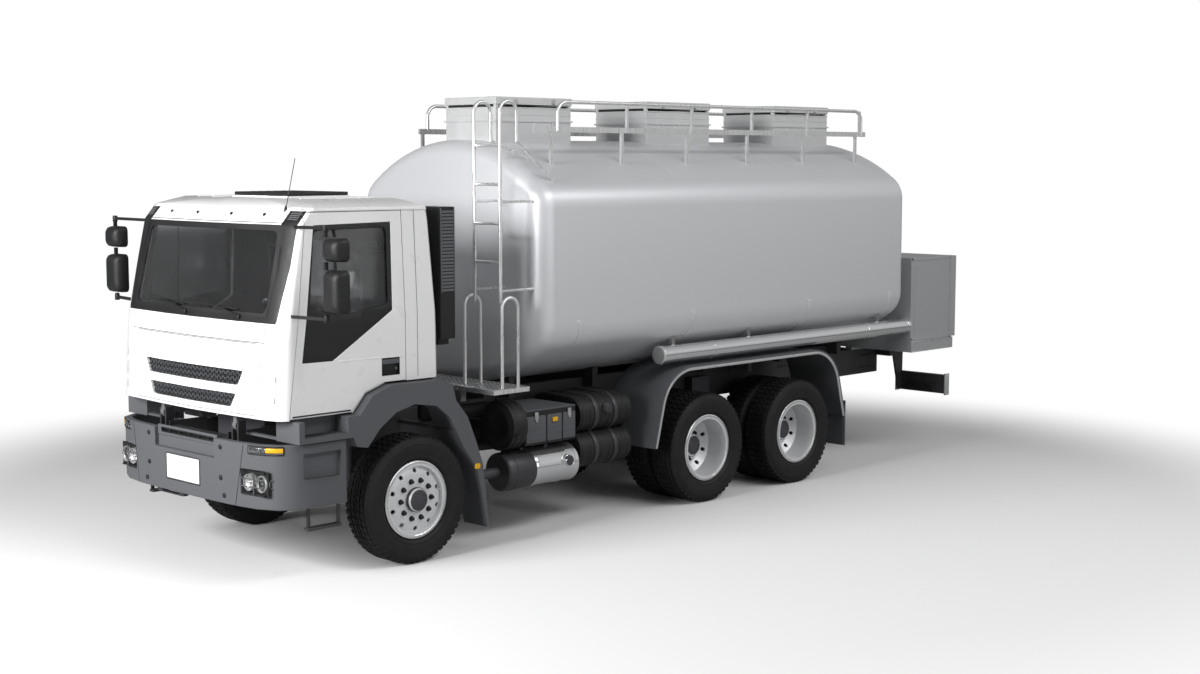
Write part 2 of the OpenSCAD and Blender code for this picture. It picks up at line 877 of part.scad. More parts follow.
module air_cleaner() {
    color("#1d1e20")
        from_front_axle() {
            // Intake tower behind the cab and the duct down to the filter drum.
            block([800, 345, 1790], [1120, 500, 2870]);
            rod([800, 425, 1100], [800, 425, 1800], 55);
            rod([800, 425, 1120], [800, 1140, 1120], 55);
            translate([800, 425, 1120])
                sphere(r = 55);
            block([780, 370, 1740], [1060, 480, 1800]);
            rod([1000, 1065, 985], [1000, 1225, 985], 215);
            block([rail_x, 1110, 930], [820, 1170, 1000]);
        }
}

module side_lockers() {
    color("#26282a")
        from_front_axle()
            both_sides() {
                block([560, 1250, 800], [1150, 1860, 1100]);
                block([rail_x, 1400, 880], [565, 1450, 960]);
                block([rail_x, 1650, 880], [565, 1700, 960]);
            }
}

module muffler() {
    x = 1000;
    z = 582;
    r = 165;
    color("#c0c2c4")
        from_front_axle() {
            rod([x, 1060, z], [x, 1900, z], r);
            rod([x, 1750, z + 40], [x + 195, 1750, z + 40], 48);
            // Pipe from the engine.
            bent_rod([[x, 1070, z], [x, 830, z], [280, 830, z], [280, 550, z]], 45);
            // Hangers to the rail.
            for (y = [1330, 1620]) {
                block([rail_x, y - 20, z + 150], [x + 20, y + 20, z + 185]);
                block([rail_x, y - 20, z + 150], [rail_x + 30, y + 20, rail_z0 + 60]);
            }
        }
}

module fuel_tank_half(z) {
    r = 163;
    for (x = [640, 965])
        rod([x, 1945, z], [x, 2600, z], r);
    block([640, 1945, z - r], [965, 2600, z + r]);
}

module fuel_tanks() {
    color("#1f2022")
        from_front_axle()
            both_sides() {
                fuel_tank_half(665);
                fuel_tank_half(985);
                // Cradle arms and the strap feet on the rail.
                for (y = [2140, 2400])
                    block([rail_x, y - 30, 860], [660, y + 30, 960]);
            }
}

// ---- cab ----

// Height, front of the middle, front corner depth, half width, rear wall
cab_sections = [[1285, -1335, 110, cab_half_w, 305],
                [1860, -1300, 110, cab_half_w, 300],
                [2031, -1275, 100, cab_half_w, 295],
                [2760, -1110, 70, cab_half_w - 33, 250],
                [2886, -1000, 60, cab_half_w - 40, 235],
                [2948, -830, 60, cab_half_w - 220, 60]];
cab_bow = 45;
cab_corner_w = 250;

// Plan of the cab at one section, moved inwards by inset.
function cab_plan(section, inset) =
    let (f = section[1] + inset, hw = section[3] - inset, back = section[4] - inset,
         turn = hw - cab_corner_w + inset * 0.8,
         half = concat([[0, f], [turn * 0.5, f + cab_bow * 0.3], [turn, f + cab_bow]],
                       [for (a = [15 : 15 : 90]) [turn + (hw - turn) * sin(a),
                                                f + cab_bow + section[2] * (1 - cos(a))]],
                       [[hw, back - 40], [hw - 40, back]]))
    concat(half, [for (i = [len(half) - 1 : -1 : 1]) [-half[i].x, half[i].y]]);

module cab_hull(inset) {
    last = len(cab_sections) - 1;
    hull()
        for (i = [0 : last]) {
            s = cab_sections[i];
            lift = i == 0 ? inset : (i == last ? -inset - 1 : 0);
            translate([0, 0, s[0] + lift])
                linear_extrude(1)
                    polygon(cab_plan(s, inset));
        }
}

// What the wheel arch takes out of the cab's underside; grow leaves a floor over it.
module arch_space(grow) {
    side_plate(-1300, 1300)
        polygon([[arch_line[0].x - grow, 1200], [arch_line[0].x - grow, arch_line[0].y + grow / 2],
                 [arch_line[1].x - grow * 0.6, arch_line[1].y + grow],
                 [arch_line[2].x, arch_line[2].y + grow], [500, arch_line[2].y + grow],
                 [500, 1200]]);
}

// Space over the engine.
module tunnel_space(grow) {
    block([-420 - grow, -1030 - grow, 1200], [420 + grow, 500, 1530 + grow]);
}

door_outline = [[-1174, 1296], [-593, 1296], [-463, 1438], [-266, 1500], [-50, 1500],
                [-56, 2852], [-972, 2852]];
door_window = [[-1052, 1712], [-765, 1708], [-174, 2067], [-160, 2765], [-905, 2755]];

// The left door's depth from its inner face outwards; the faces lean in like the cab's side.
module door_slab(inner) {
    top = cab_sections[3];
    cross_plate(-1300, 200)
        polygon([[cab_half_w - inner, 1200], [cab_half_w - inner, cab_sections[2][0]],
                 [top[3] - inner, top[0]], [top[3] - inner - 8, top[0] + 140],
                 [cab_half_w + 20, top[0] + 140], [cab_half_w + 20, 1200]]);
}

// Both door openings: the panel's depth, then a smaller one inside the seal lip.
module door_spaces() {
    both_sides() {
        intersection() {
            side_plate(cab_half_w - 200, cab_half_w + 20)
                offset(delta = panel_gap)
                    polygon(door_outline);
            door_slab(door_t + seat_gap);
        }
        // The door's bottom edge hangs free in front of the wheel arch.
        intersection() {
            side_plate(cab_half_w - 200, cab_half_w + 20)
                polygon([[door_outline[0].x - panel_gap, 1200], [-587, 1200], [-587, 1310],
                         [door_outline[0].x - panel_gap + 2, 1310]]);
            door_slab(door_t + seat_gap);
        }
        side_plate(cab_half_w - 200, cab_half_w + 20)
            offset(delta = -lip_w)
                polygon(door_outline);
    }
}

hatch_half_w = 330;
hatch_y0 = -560;
hatch_y1 = -60;
hatch_z = 2960;

// Axis that the cab tilts about, and the fork that carries each hinge lug.
tilt_y = -1215;
tilt_z = 1195;
tilt_pin_r = 20;
lug_x0 = 500;
lug_x1 = 545;

module tilt_lug() {
    difference() {
        union() {
            rod([lug_x0, tilt_y, tilt_z], [lug_x1, tilt_y, tilt_z], 42);
            block([lug_x0, tilt_y - 32, tilt_z], [lug_x1, tilt_y + 32, cab_sections[0][0] + 5]);
        }
        rod([lug_x0 - 5, tilt_y, tilt_z], [lug_x1 + 5, tilt_y, tilt_z], tilt_pin_r + running_gap);
    }
}

module tilt_fork() {
    front_y = beam_y1 + seat_gap;
    for (x = [lug_x0 - 26, lug_x1 + 6])
        block([x, front_y, 1000], [x + 20, tilt_y + 36, tilt_z + 38]);
    rod([lug_x0 - 26, tilt_y, tilt_z], [lug_x1 + 26, tilt_y, tilt_z], tilt_pin_r);
    block([rail_x - rail_t, front_y, 1000], [lug_x1 + 26, tilt_y + 36, 1060]);
}

module cab_shell() {
    color("#f2f2f2")
        from_front_axle() {
            both_sides()
                tilt_lug();
            difference() {
                union() {
                    cab_hull(0);
                    // Raised frame of the roof hatch.
                    block([-hatch_half_w - 60, hatch_y0 - 60, 2880],
                          [hatch_half_w + 60, hatch_y1 + 60, hatch_z]);
                }
                difference() {
                    cab_hull(cab_wall);
                    arch_space(50);
                    tunnel_space(40);
                }
                arch_space(0);
                tunnel_space(0);
                door_spaces();
                // Windscreen, rear window, hatch and grille openings.
                block([-screen_half_w, -1500, screen_z0], [screen_half_w, -960, screen_z1]);
                block([-520, 150, 2080], [520, 400, 2560]);
                block([-hatch_half_w, hatch_y0, 2700], [hatch_half_w, hatch_y1, hatch_z + 10]);
                difference() {
                    flap_block(panel_gap);
                    behind_flap(flap_t + seat_gap);
                }
                flap_block(-lip_w);
            }
        }
}

// Plane of the windscreen: y of the outer face at a height.
function screen_y(z) = -1275 + 36 + (z - 2031) * (165 / 729);

module cab_glass() {
    g = seat_gap;
    color("#3c4146", 0.6)
        from_front_axle() {
            side_plate(-screen_half_w + g, screen_half_w - g)
                polygon([[screen_y(screen_z0 + g), screen_z0 + g],
                         [screen_y(screen_z0 + g) + glass_t, screen_z0 + g],
                         [screen_y(screen_z1 - g) + glass_t, screen_z1 - g],
                         [screen_y(screen_z1 - g), screen_z1 - g]]);
            block([-520 + g, 205, 2080 + g], [520 - g, 205 + glass_t, 2560 - g]);
        }
}

// A square bar between two points.
module bar(from, to, w) {
    d = to - from;
    translate(from)
        rotate([0, acos(d.z / norm(d)), atan2(d.y, d.x)])
            translate([-w / 2, -w / 2, 0])
                cube([w, w, norm(d)]);
}

module mirror_side() {
    // Housings as low and high z.
    for (z = [[2110, 2440], [2500, 2680]])
        block([1450, -1105, z[0]], [1672, -985, z[1]]);
    block([1488, -1088, 2060], [1512, -1062, 2770]);
    bar([1000, -1028, 2745], [1500, -1075, 2750], 24);
    bar([1080, -1140, 2075], [1500, -1075, 2075], 24);
}

module mirrors() {
    color("#232527")
        from_front_axle()
            both_sides()
                difference() {
                    mirror_side();
                    cab_hull(-seat_gap);
                }
}

module seat(x) {
    // Cushion, back and pedestal.
    block([x - 240, -370, 1760], [x + 240, 110, 1900]);
    block([x - 230, 40, 1880], [x + 230, 155, 2540]);
    block([x - 130, 45, 2560], [x + 130, 125, 2730]);
    block([x - 60, 70, 2530], [x + 60, 110, 2600]);
    block([x - 185, -250, arch_line[2].y + 50 + seat_gap], [x + 190, 60, 1762]);
}

module seats() {
    color("#2f3236")
        from_front_axle() {
            seat(650);
            seat(-650);
        }
}

steering_x = 600;
steering_y = -770;
steering_z = 2060;
steering_tilt = 28;

module dashboard() {
    color("#2b2d2f")
        from_front_axle() {
            intersection() {
                block([-1085, -1300, 1800], [1085, -930, 2020]);
                cab_hull(cab_wall + seat_gap);
            }
            // Steering column.
            translate([steering_x, steering_y, steering_z])
                rotate([-steering_tilt, 0, 0])
                    translate([0, 0, -330])
                        cylinder(r = 35, h = 300 - seat_gap);
        }
}

module steering_wheel() {
    color("#1b1c1d")
        from_front_axle()
            translate([steering_x, steering_y, steering_z])
                rotate([-steering_tilt, 0, 0]) {
                    rotate_extrude()
                        translate([steering_r - 15, 0])
                            circle(r = 15);
                    translate([0, 0, -30])
                        cylinder(r = 70, h = 40);
                    for (a = [90 : 90 : 360])
                        rotate([0, 0, a + 45])
                            block([0, -18, -12], [steering_r - 12, 18, 4]);
                }
}

// A door is a piece of the cab's own skin, with its window cut out.
module door() {
    difference() {
        intersection() {
            side_plate(cab_half_w - 200, cab_half_w + 10)
                polygon(door_outline);
            cab_hull(0);
            door_slab(door_t);
        }
        side_plate(cab_half_w - 250, cab_half_w + 20)
            polygon(door_window);
        // Handle pocket.
        block([cab_half_w - 20, -290, 1548], [cab_half_w + 10, -110, 1690]);
    }
    // Handle bar in the pocket.
    block([cab_half_w - 8, -292, 1575], [cab_half_w - 2, -108, 1605]);
}

module left_door() {
    color("#f2f2f2")
        from_front_axle()
            door();
}

module right_door() {
    color("#f2f2f2")
        from_front_axle()
            mirror([1, 0, 0])
                door();
}

module flap_block(grow) {
    block([-flap_half_w - grow, -1500, flap_z0 - grow], [flap_half_w + grow, -1180, flap_z1 + grow]);
}

// What lies behind the flap's inner face, down past its lower edge.
module behind_flap(inset) {
    cab_hull(inset);
    translate([0, 0, -60])
        cab_hull(inset);
}

module grille_flap() {
    color("#f2f2f2")
        from_front_axle()
            intersection() {
                flap_block(0);
                difference() {
                    cab_hull(0);
                    behind_flap(flap_t);
                }
            }
}

module roof_hatch() {
    color("#2a2c2e")
        from_front_axle()
            block([-hatch_half_w - 50, hatch_y0 - 50, hatch_z + seat_gap],
                  [hatch_half_w + 50, hatch_y1 + 50, hatch_z + 30]);
}

chassis_frame();
engine_block();
front_axle();
rear_axles();
bumper();
front_fenders();
rear_mudguards();
tank();
hose_tubes();
ladder();
handrails();
fill_boxes();
cabinet();
air_cleaner();
side_lockers();
muffler();
fuel_tanks();
fill_lid_1();
fill_lid_2();
fill_lid_3();
cabinet_door();
left_knuckle();
right_knuckle();
front_left_tyre();
front_left_rim();
front_right_tyre();
front_right_rim();
mid_left_tyres();
mid_left_rims();
mid_right_tyres();
mid_right_rims();
rear_left_tyres();
rear_left_rims();
rear_right_tyres();
rear_right_rims();
cab_shell();
cab_glass();
mirrors();
seats();
dashboard();
steering_wheel();
left_door();
right_door();
grille_flap();
roof_hatch();
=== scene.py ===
"""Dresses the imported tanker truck: smooth bodies, fittings and finishes around the CAD frame.

Positions inside the classes are in metres and measured from the front axle along y, as the sizes of a
truck are; Shape.done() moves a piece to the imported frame. +Z is up, the front faces -Y and +X is the
truck's left side.
"""
import json
import logging
import math
from dataclasses import dataclass
from enum import Enum
from typing import Callable, Iterable, Sequence

import bmesh
import bpy
from mathutils import Matrix, Vector
from mathutils.bvhtree import BVHTree


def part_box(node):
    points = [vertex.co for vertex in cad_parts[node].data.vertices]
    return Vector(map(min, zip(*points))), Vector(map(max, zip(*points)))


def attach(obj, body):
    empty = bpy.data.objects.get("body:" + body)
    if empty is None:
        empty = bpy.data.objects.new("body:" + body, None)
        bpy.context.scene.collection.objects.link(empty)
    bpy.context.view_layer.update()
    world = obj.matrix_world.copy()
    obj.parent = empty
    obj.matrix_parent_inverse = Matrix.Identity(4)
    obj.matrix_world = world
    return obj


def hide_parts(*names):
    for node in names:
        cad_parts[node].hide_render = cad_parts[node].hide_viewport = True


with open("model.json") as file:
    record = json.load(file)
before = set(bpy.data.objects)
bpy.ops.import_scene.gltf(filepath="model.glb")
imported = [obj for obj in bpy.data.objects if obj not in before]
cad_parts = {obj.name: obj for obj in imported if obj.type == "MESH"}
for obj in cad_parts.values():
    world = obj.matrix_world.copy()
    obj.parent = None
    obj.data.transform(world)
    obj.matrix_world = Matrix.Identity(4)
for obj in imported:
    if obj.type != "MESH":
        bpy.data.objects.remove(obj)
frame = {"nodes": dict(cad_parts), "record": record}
LOG = logging.getLogger("truck")
Point = Sequence[float]
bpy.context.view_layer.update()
BODY_OF = {node: body for body, nodes in frame["record"]["behaviour"]["bodies"].items() for node in nodes}
SLOT_OF = {part["node"]: part["material_slot"] for part in frame["record"]["subparts"]}


def middle_y(node: str) -> float:
    """Middle of a CAD node's box along y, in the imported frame."""
    low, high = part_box(node)
    return (low.y + high.y) / 2


AXLE_Y = middle_y("front_left_tyre")
MID_Y = middle_y("mid_left_rims") - AXLE_Y
REAR_Y = middle_y("rear_left_rims") - AXLE_Y
AXLE_Z = (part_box("front_left_tyre")[0].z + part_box("front_left_tyre")[1].z) / 2
TYRE_R = (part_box("front_left_tyre")[1].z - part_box("front_left_tyre")[0].z) / 2


# ---- finishes ----

class Pattern(Enum):
    """How a finish's surface is broken up."""

    PAINT = "paint"
    BRUSHED = "brushed"
    MOULDED = "moulded"
    CAST = "cast"
    WOVEN = "woven"
    RUBBER = "rubber"


@dataclass(frozen=True)
class Finish:
    """One surface finish, built as a procedural material on Object coordinates."""

    name: str
    colour: tuple[float, float, float]
    pattern: Pattern = Pattern.PAINT
    roughness: float = 0.4
    metallic: float = 0.0
    coat: float = 0.0
    mottle: float = 0.05
    mottle_size: float = 2.5
    grain: float = 0.05
    grain_size: float = 300.0
    along: tuple[float, float, float] = (1.0, 1.0, 1.0)
    dust: float = 0.0
    specular: float = 0.5

    def material(self) -> bpy.types.Material:
        """The material, made once and then shared.

        Returns:
            The Blender material of this finish, or the frame's plain one where it has the same name.
        """
        known = bpy.data.materials.get(self.name)
        if known:
            return known
        made = bpy.data.materials.new(self.name)
        made.use_nodes = True
        tree = made.node_tree
        shader = tree.nodes["Principled BSDF"]
        shader.inputs["Metallic"].default_value = self.metallic
        shader.inputs["Coat Weight"].default_value = self.coat
        shader.inputs["Coat Roughness"].default_value = 0.06
        shader.inputs["Specular IOR Level"].default_value = self.specular
        place = self._placed(tree, self.along)
        self._colour(tree, shader, place)
        self._roughness(tree, shader, place)
        self._bump(tree, shader, place)
        return made

    def _placed(self, tree: bpy.types.NodeTree, stretch: Point) -> bpy.types.NodeSocket:
        """Object coordinates, stretched along the grain's direction."""
        coords = tree.nodes.new("ShaderNodeTexCoord")
        mapping = tree.nodes.new("ShaderNodeMapping")
        mapping.inputs["Scale"].default_value = stretch
        tree.links.new(coords.outputs["Object"], mapping.inputs["Vector"])
        return mapping.outputs["Vector"]

    def _noise(self, tree: bpy.types.NodeTree, place: bpy.types.NodeSocket, scale: float,
               detail: float = 3.0) -> bpy.types.NodeSocket:
        """A noise value from 0 to 1."""
        noise = tree.nodes.new("ShaderNodeTexNoise")
        noise.inputs["Scale"].default_value = scale
        noise.inputs["Detail"].default_value = detail
        tree.links.new(place, noise.inputs["Vector"])
        return noise.outputs["Fac"]

    def _ranged(self, tree: bpy.types.NodeTree, value: bpy.types.NodeSocket, low: float, high: float,
                begin: float = 0.3, end: float = 0.7) -> bpy.types.NodeSocket:
        """Maps a value's middle band to a range."""
        node = tree.nodes.new("ShaderNodeMapRange")
        for key, number in (("From Min", begin), ("From Max", end), ("To Min", low), ("To Max", high)):
            node.inputs[key].default_value = number
        tree.links.new(value, node.inputs["Value"])
        return node.outputs["Result"]

    def _colour(self, tree: bpy.types.NodeTree, shader: bpy.types.Node, place: bpy.types.NodeSocket) -> None:
        """Colour that varies slowly, with dust gathered low on the truck where the finish has it."""
        ramp = tree.nodes.new("ShaderNodeValToRGB")
        dark, pale = (tuple(min(1.0, c * k) for c in self.colour) + (1.0,)
                      for k in (1 - self.mottle, 1 + self.mottle))
        ramp.color_ramp.elements[0].position = 0.3
        ramp.color_ramp.elements[1].position = 0.7
        ramp.color_ramp.elements[0].color = dark
        ramp.color_ramp.elements[1].color = pale
        tree.links.new(self._noise(tree, place, self.mottle_size, 4), ramp.inputs["Fac"])
        result = ramp.outputs["Color"]
        if self.dust:
            coords = tree.nodes.new("ShaderNodeTexCoord")
            parts = tree.nodes.new("ShaderNodeSeparateXYZ")
            tree.links.new(coords.outputs["Object"], parts.inputs["Vector"])
            height = self._ranged(tree, parts.outputs["Z"], self.dust, 0.0, 0.1, 1.1)
            patches = self._ranged(tree, self._noise(tree, coords.outputs["Object"], 6.0, 6), 0.2, 1.0)
            product = tree.nodes.new("ShaderNodeMath")
            product.operation = "MULTIPLY"
            tree.links.new(height, product.inputs[0])
            tree.links.new(patches, product.inputs[1])
            mix = tree.nodes.new("ShaderNodeMix")
            mix.data_type = "RGBA"
            tree.links.new(product.outputs[0], mix.inputs[0])
            tree.links.new(result, mix.inputs[6])
            mix.inputs[7].default_value = (0.30, 0.29, 0.275, 1.0)
            result = mix.outputs[2]
        if self.pattern is Pattern.WOVEN:
            result = self._woven(tree, shader, result)
        tree.links.new(result, shader.inputs["Base Color"])

    def _woven(self, tree: bpy.types.NodeTree, shader: bpy.types.Node,
               result: bpy.types.NodeSocket) -> bpy.types.NodeSocket:
        """Warp and weft threads that lighten the colour where they stand up."""
        coords = tree.nodes.new("ShaderNodeTexCoord")
        waves = []
        for direction in ("X", "Z"):
            wave = tree.nodes.new("ShaderNodeTexWave")
            wave.bands_direction = direction
            wave.inputs["Scale"].default_value = 60.0
            tree.links.new(coords.outputs["Object"], wave.inputs["Vector"])
            waves.append(wave.outputs["Fac"])
        thread = tree.nodes.new("ShaderNodeMath")
        thread.operation = "MULTIPLY"
        tree.links.new(waves[0], thread.inputs[0])
        tree.links.new(waves[1], thread.inputs[1])
        mix = tree.nodes.new("ShaderNodeMix")
        mix.data_type = "RGBA"
        tree.links.new(thread.outputs[0], mix.inputs[0])
        tree.links.new(result, mix.inputs[6])
        mix.inputs[7].default_value = tuple(min(1.0, c * 2.2) for c in self.colour) + (1.0,)
        shader.inputs["Sheen Weight"].default_value = 0.3
        return mix.outputs[2]

    def _roughness(self, tree: bpy.types.NodeTree, shader: bpy.types.Node,
                   place: bpy.types.NodeSocket) -> None:
        """Roughness that wanders a little round its value."""
        swing = 0.25 if self.pattern in (Pattern.BRUSHED, Pattern.CAST) else 0.15
        scale = 40.0 if self.pattern is Pattern.BRUSHED else 7.0
        value = self._ranged(tree, self._noise(tree, place, scale, 5), self.roughness * (1 - swing),
                             min(1.0, self.roughness * (1 + swing)))
        tree.links.new(value, shader.inputs["Roughness"])

    def _bump(self, tree: bpy.types.NodeTree, shader: bpy.types.Node, place: bpy.types.NodeSocket) -> None:
        """Fine relief: orange peel, moulding grain, casting skin or brushing lines."""
        if self.grain <= 0:
            return
        bump = tree.nodes.new("ShaderNodeBump")
        bump.inputs["Strength"].default_value = self.grain
        bump.inputs["Distance"].default_value = 0.002
        if self.pattern is Pattern.MOULDED:
            cells = tree.nodes.new("ShaderNodeTexVoronoi")
            cells.inputs["Scale"].default_value = self.grain_size
            tree.links.new(place, cells.inputs["Vector"])
            height = cells.outputs["Distance"]
        else:
            height = self._noise(tree, place, self.grain_size, 6 if self.pattern is Pattern.CAST else 2)
        tree.links.new(height, bump.inputs["Height"])
        tree.links.new(bump.outputs["Normal"], shader.inputs["Normal"])


@dataclass(frozen=True)
class Glass:
    """A clear or tinted pane or lens."""

    name: str
    colour: tuple[float, float, float]
    roughness: float = 0.02
    transmission: float = 1.0

    def material(self) -> bpy.types.Material:
        """The material, made once and then shared."""
        known = bpy.data.materials.get(self.name)
        if known:
            return known
        made = bpy.data.materials.new(self.name)
        made.use_nodes = True
        tree = made.node_tree
        shader = tree.nodes["Principled BSDF"]
        shader.inputs["Base Color"].default_value = (*self.colour, 1.0)
        shader.inputs["Transmission Weight"].default_value = self.transmission
        shader.inputs["IOR"].default_value = 1.45
        coords = tree.nodes.new("ShaderNodeTexCoord")
        noise = tree.nodes.new("ShaderNodeTexNoise")
        noise.inputs["Scale"].default_value = 9.0
        tree.links.new(coords.outputs["Object"], noise.inputs["Vector"])
        spread = tree.nodes.new("ShaderNodeMapRange")
        spread.inputs["To Min"].default_value = self.roughness
        spread.inputs["To Max"].default_value = self.roughness + 0.05
        tree.links.new(noise.outputs["Fac"], spread.inputs["Value"])
        tree.links.new(spread.outputs["Result"], shader.inputs["Roughness"])
        return made


Dressing = Finish | Glass

WHITE_PAINT = Finish("cab_white", (0.88, 0.88, 0.884), roughness=0.3, coat=0.7, mottle=0.012, grain=0.02,
                     grain_size=220)
TANK_SILVER = Finish("tank_silver", (0.70, 0.702, 0.706), roughness=0.33, metallic=0.8, coat=0.1,
                     mottle=0.03, mottle_size=1.2, grain=0.03, grain_size=160, dust=0.0)
BOX_SILVER = Finish("box_silver", (0.66, 0.665, 0.67), roughness=0.42, metallic=0.35, mottle=0.04, grain=0.04)
CABINET_GREY = Finish("cabinet_grey", (0.25, 0.252, 0.255), roughness=0.45, metallic=0.1, mottle=0.05,
                      grain=0.04)
TRIM_GREY = Finish("trim_grey", (0.62, 0.625, 0.63), roughness=0.3, metallic=0.6, mottle=0.03)
BRIGHT_STEEL = Finish("bright_steel", (0.74, 0.745, 0.75), Pattern.BRUSHED, 0.24, 1.0, mottle=0.05,
                      mottle_size=14, grain=0.12, grain_size=120, along=(1, 0.08, 1))
RAIL_STEEL = Finish("rail_steel", (0.78, 0.785, 0.79), Pattern.BRUSHED, 0.32, 0.75, mottle=0.04,
                    mottle_size=10, grain=0.06, grain_size=150, along=(1, 1, 0.1))
RIM_SILVER = Finish("rim_silver", (0.43, 0.432, 0.435), roughness=0.36, metallic=0.85, coat=0.15, mottle=0.08,
                    mottle_size=9, grain=0.05, dust=0.04)
BUMPER_PLASTIC = Finish("bumper_plastic", (0.020, 0.0203, 0.0212), Pattern.MOULDED, 0.50, mottle=0.12,
                        mottle_size=3, grain=0.22, grain_size=650, dust=0.03, specular=0.32)
BLACK_PLASTIC = Finish("black_plastic", (0.014, 0.0144, 0.0152), Pattern.MOULDED, 0.45, mottle=0.12,
                       grain=0.2, grain_size=600, dust=0.02, specular=0.3)
CHASSIS_BLACK = Finish("chassis_black", (0.016, 0.0163, 0.017), roughness=0.5, mottle=0.15, mottle_size=6,
                       grain=0.08, grain_size=140, dust=0.05, specular=0.35)
CAST_DARK = Finish("cast_dark", (0.03, 0.03, 0.033), Pattern.CAST, 0.62, 0.2, mottle=0.2, mottle_size=12,
                   grain=0.35, grain_size=170, dust=0.06, specular=0.35)
RUBBER = Finish("tyre_rubber", (0.0105, 0.0105, 0.0112), Pattern.RUBBER, 0.62, mottle=0.18, mottle_size=8,
                grain=0.16, grain_size=420, dust=0.03, specular=0.25)
SEAL_RUBBER = Finish("seal_rubber", (0.01, 0.01, 0.011), Pattern.RUBBER, 0.5, mottle=0.1, grain=0.1)
GROOVE_SHADE = Finish("groove_shade", (0.50, 0.50, 0.505), roughness=0.5, mottle=0.03, grain=0.0)
SEAM_SHADE = Finish("seam_shade", (0.12, 0.12, 0.125), roughness=0.7, mottle=0.05, grain=0.0)
SEAT_CLOTH = Finish("seat_cloth", (0.05, 0.054, 0.06), Pattern.WOVEN, 0.85, mottle=0.1, mottle_size=20,
                    grain=0.5, grain_size=500)
DASH_PLASTIC = Finish("dash_plastic", (0.06, 0.061, 0.064), Pattern.MOULDED, 0.6, grain=0.3, grain_size=500)
PLATE_WHITE = Finish("plate_white", (0.72, 0.725, 0.73), roughness=0.4, mottle=0.02, grain=0.02)
ZINC = Finish("zinc_bolts", (0.5, 0.5, 0.5), Pattern.CAST, 0.42, 0.9, mottle=0.15, mottle_size=40, grain=0.1)
DARK_BOLT = Finish("dark_bolts", (0.03, 0.03, 0.032), Pattern.CAST, 0.45, 0.6, mottle=0.1, grain=0.1)
REFLECTOR = Finish("lamp_reflector", (0.8, 0.8, 0.81), roughness=0.12, metallic=1.0, mottle=0.02, grain=0.0)
AMBER = Glass("amber_lens", (1.0, 0.55, 0.02), 0.12, 0.25)
RED_LENS = Glass("red_lens", (0.55, 0.01, 0.01), 0.12, 0.3)
CLEAR_LENS = Glass("clear_lens", (0.95, 0.95, 0.95), 0.03, 1.0)
SCREEN_GLASS = Glass("screen_glass", (0.60, 0.61, 0.62), 0.02, 1.0)
DARK_GLASS = Glass("dark_glass", (0.30, 0.31, 0.32), 0.02, 1.0)
MIRROR_GLASS = Finish("mirror_glass", (0.85, 0.86, 0.87), roughness=0.05, metallic=1.0, mottle=0.01,
                      grain=0.0)


# ---- shapes ----

def turned(point: Point, axis: str) -> Vector:
    """Maps (along, u, v) of a lathe or prism to x, y, z with its axis along x, y or z."""
    a, u, v = point
    return Vector({"X": (a, u, v), "Y": (u, a, v), "Z": (u, v, a)}[axis])


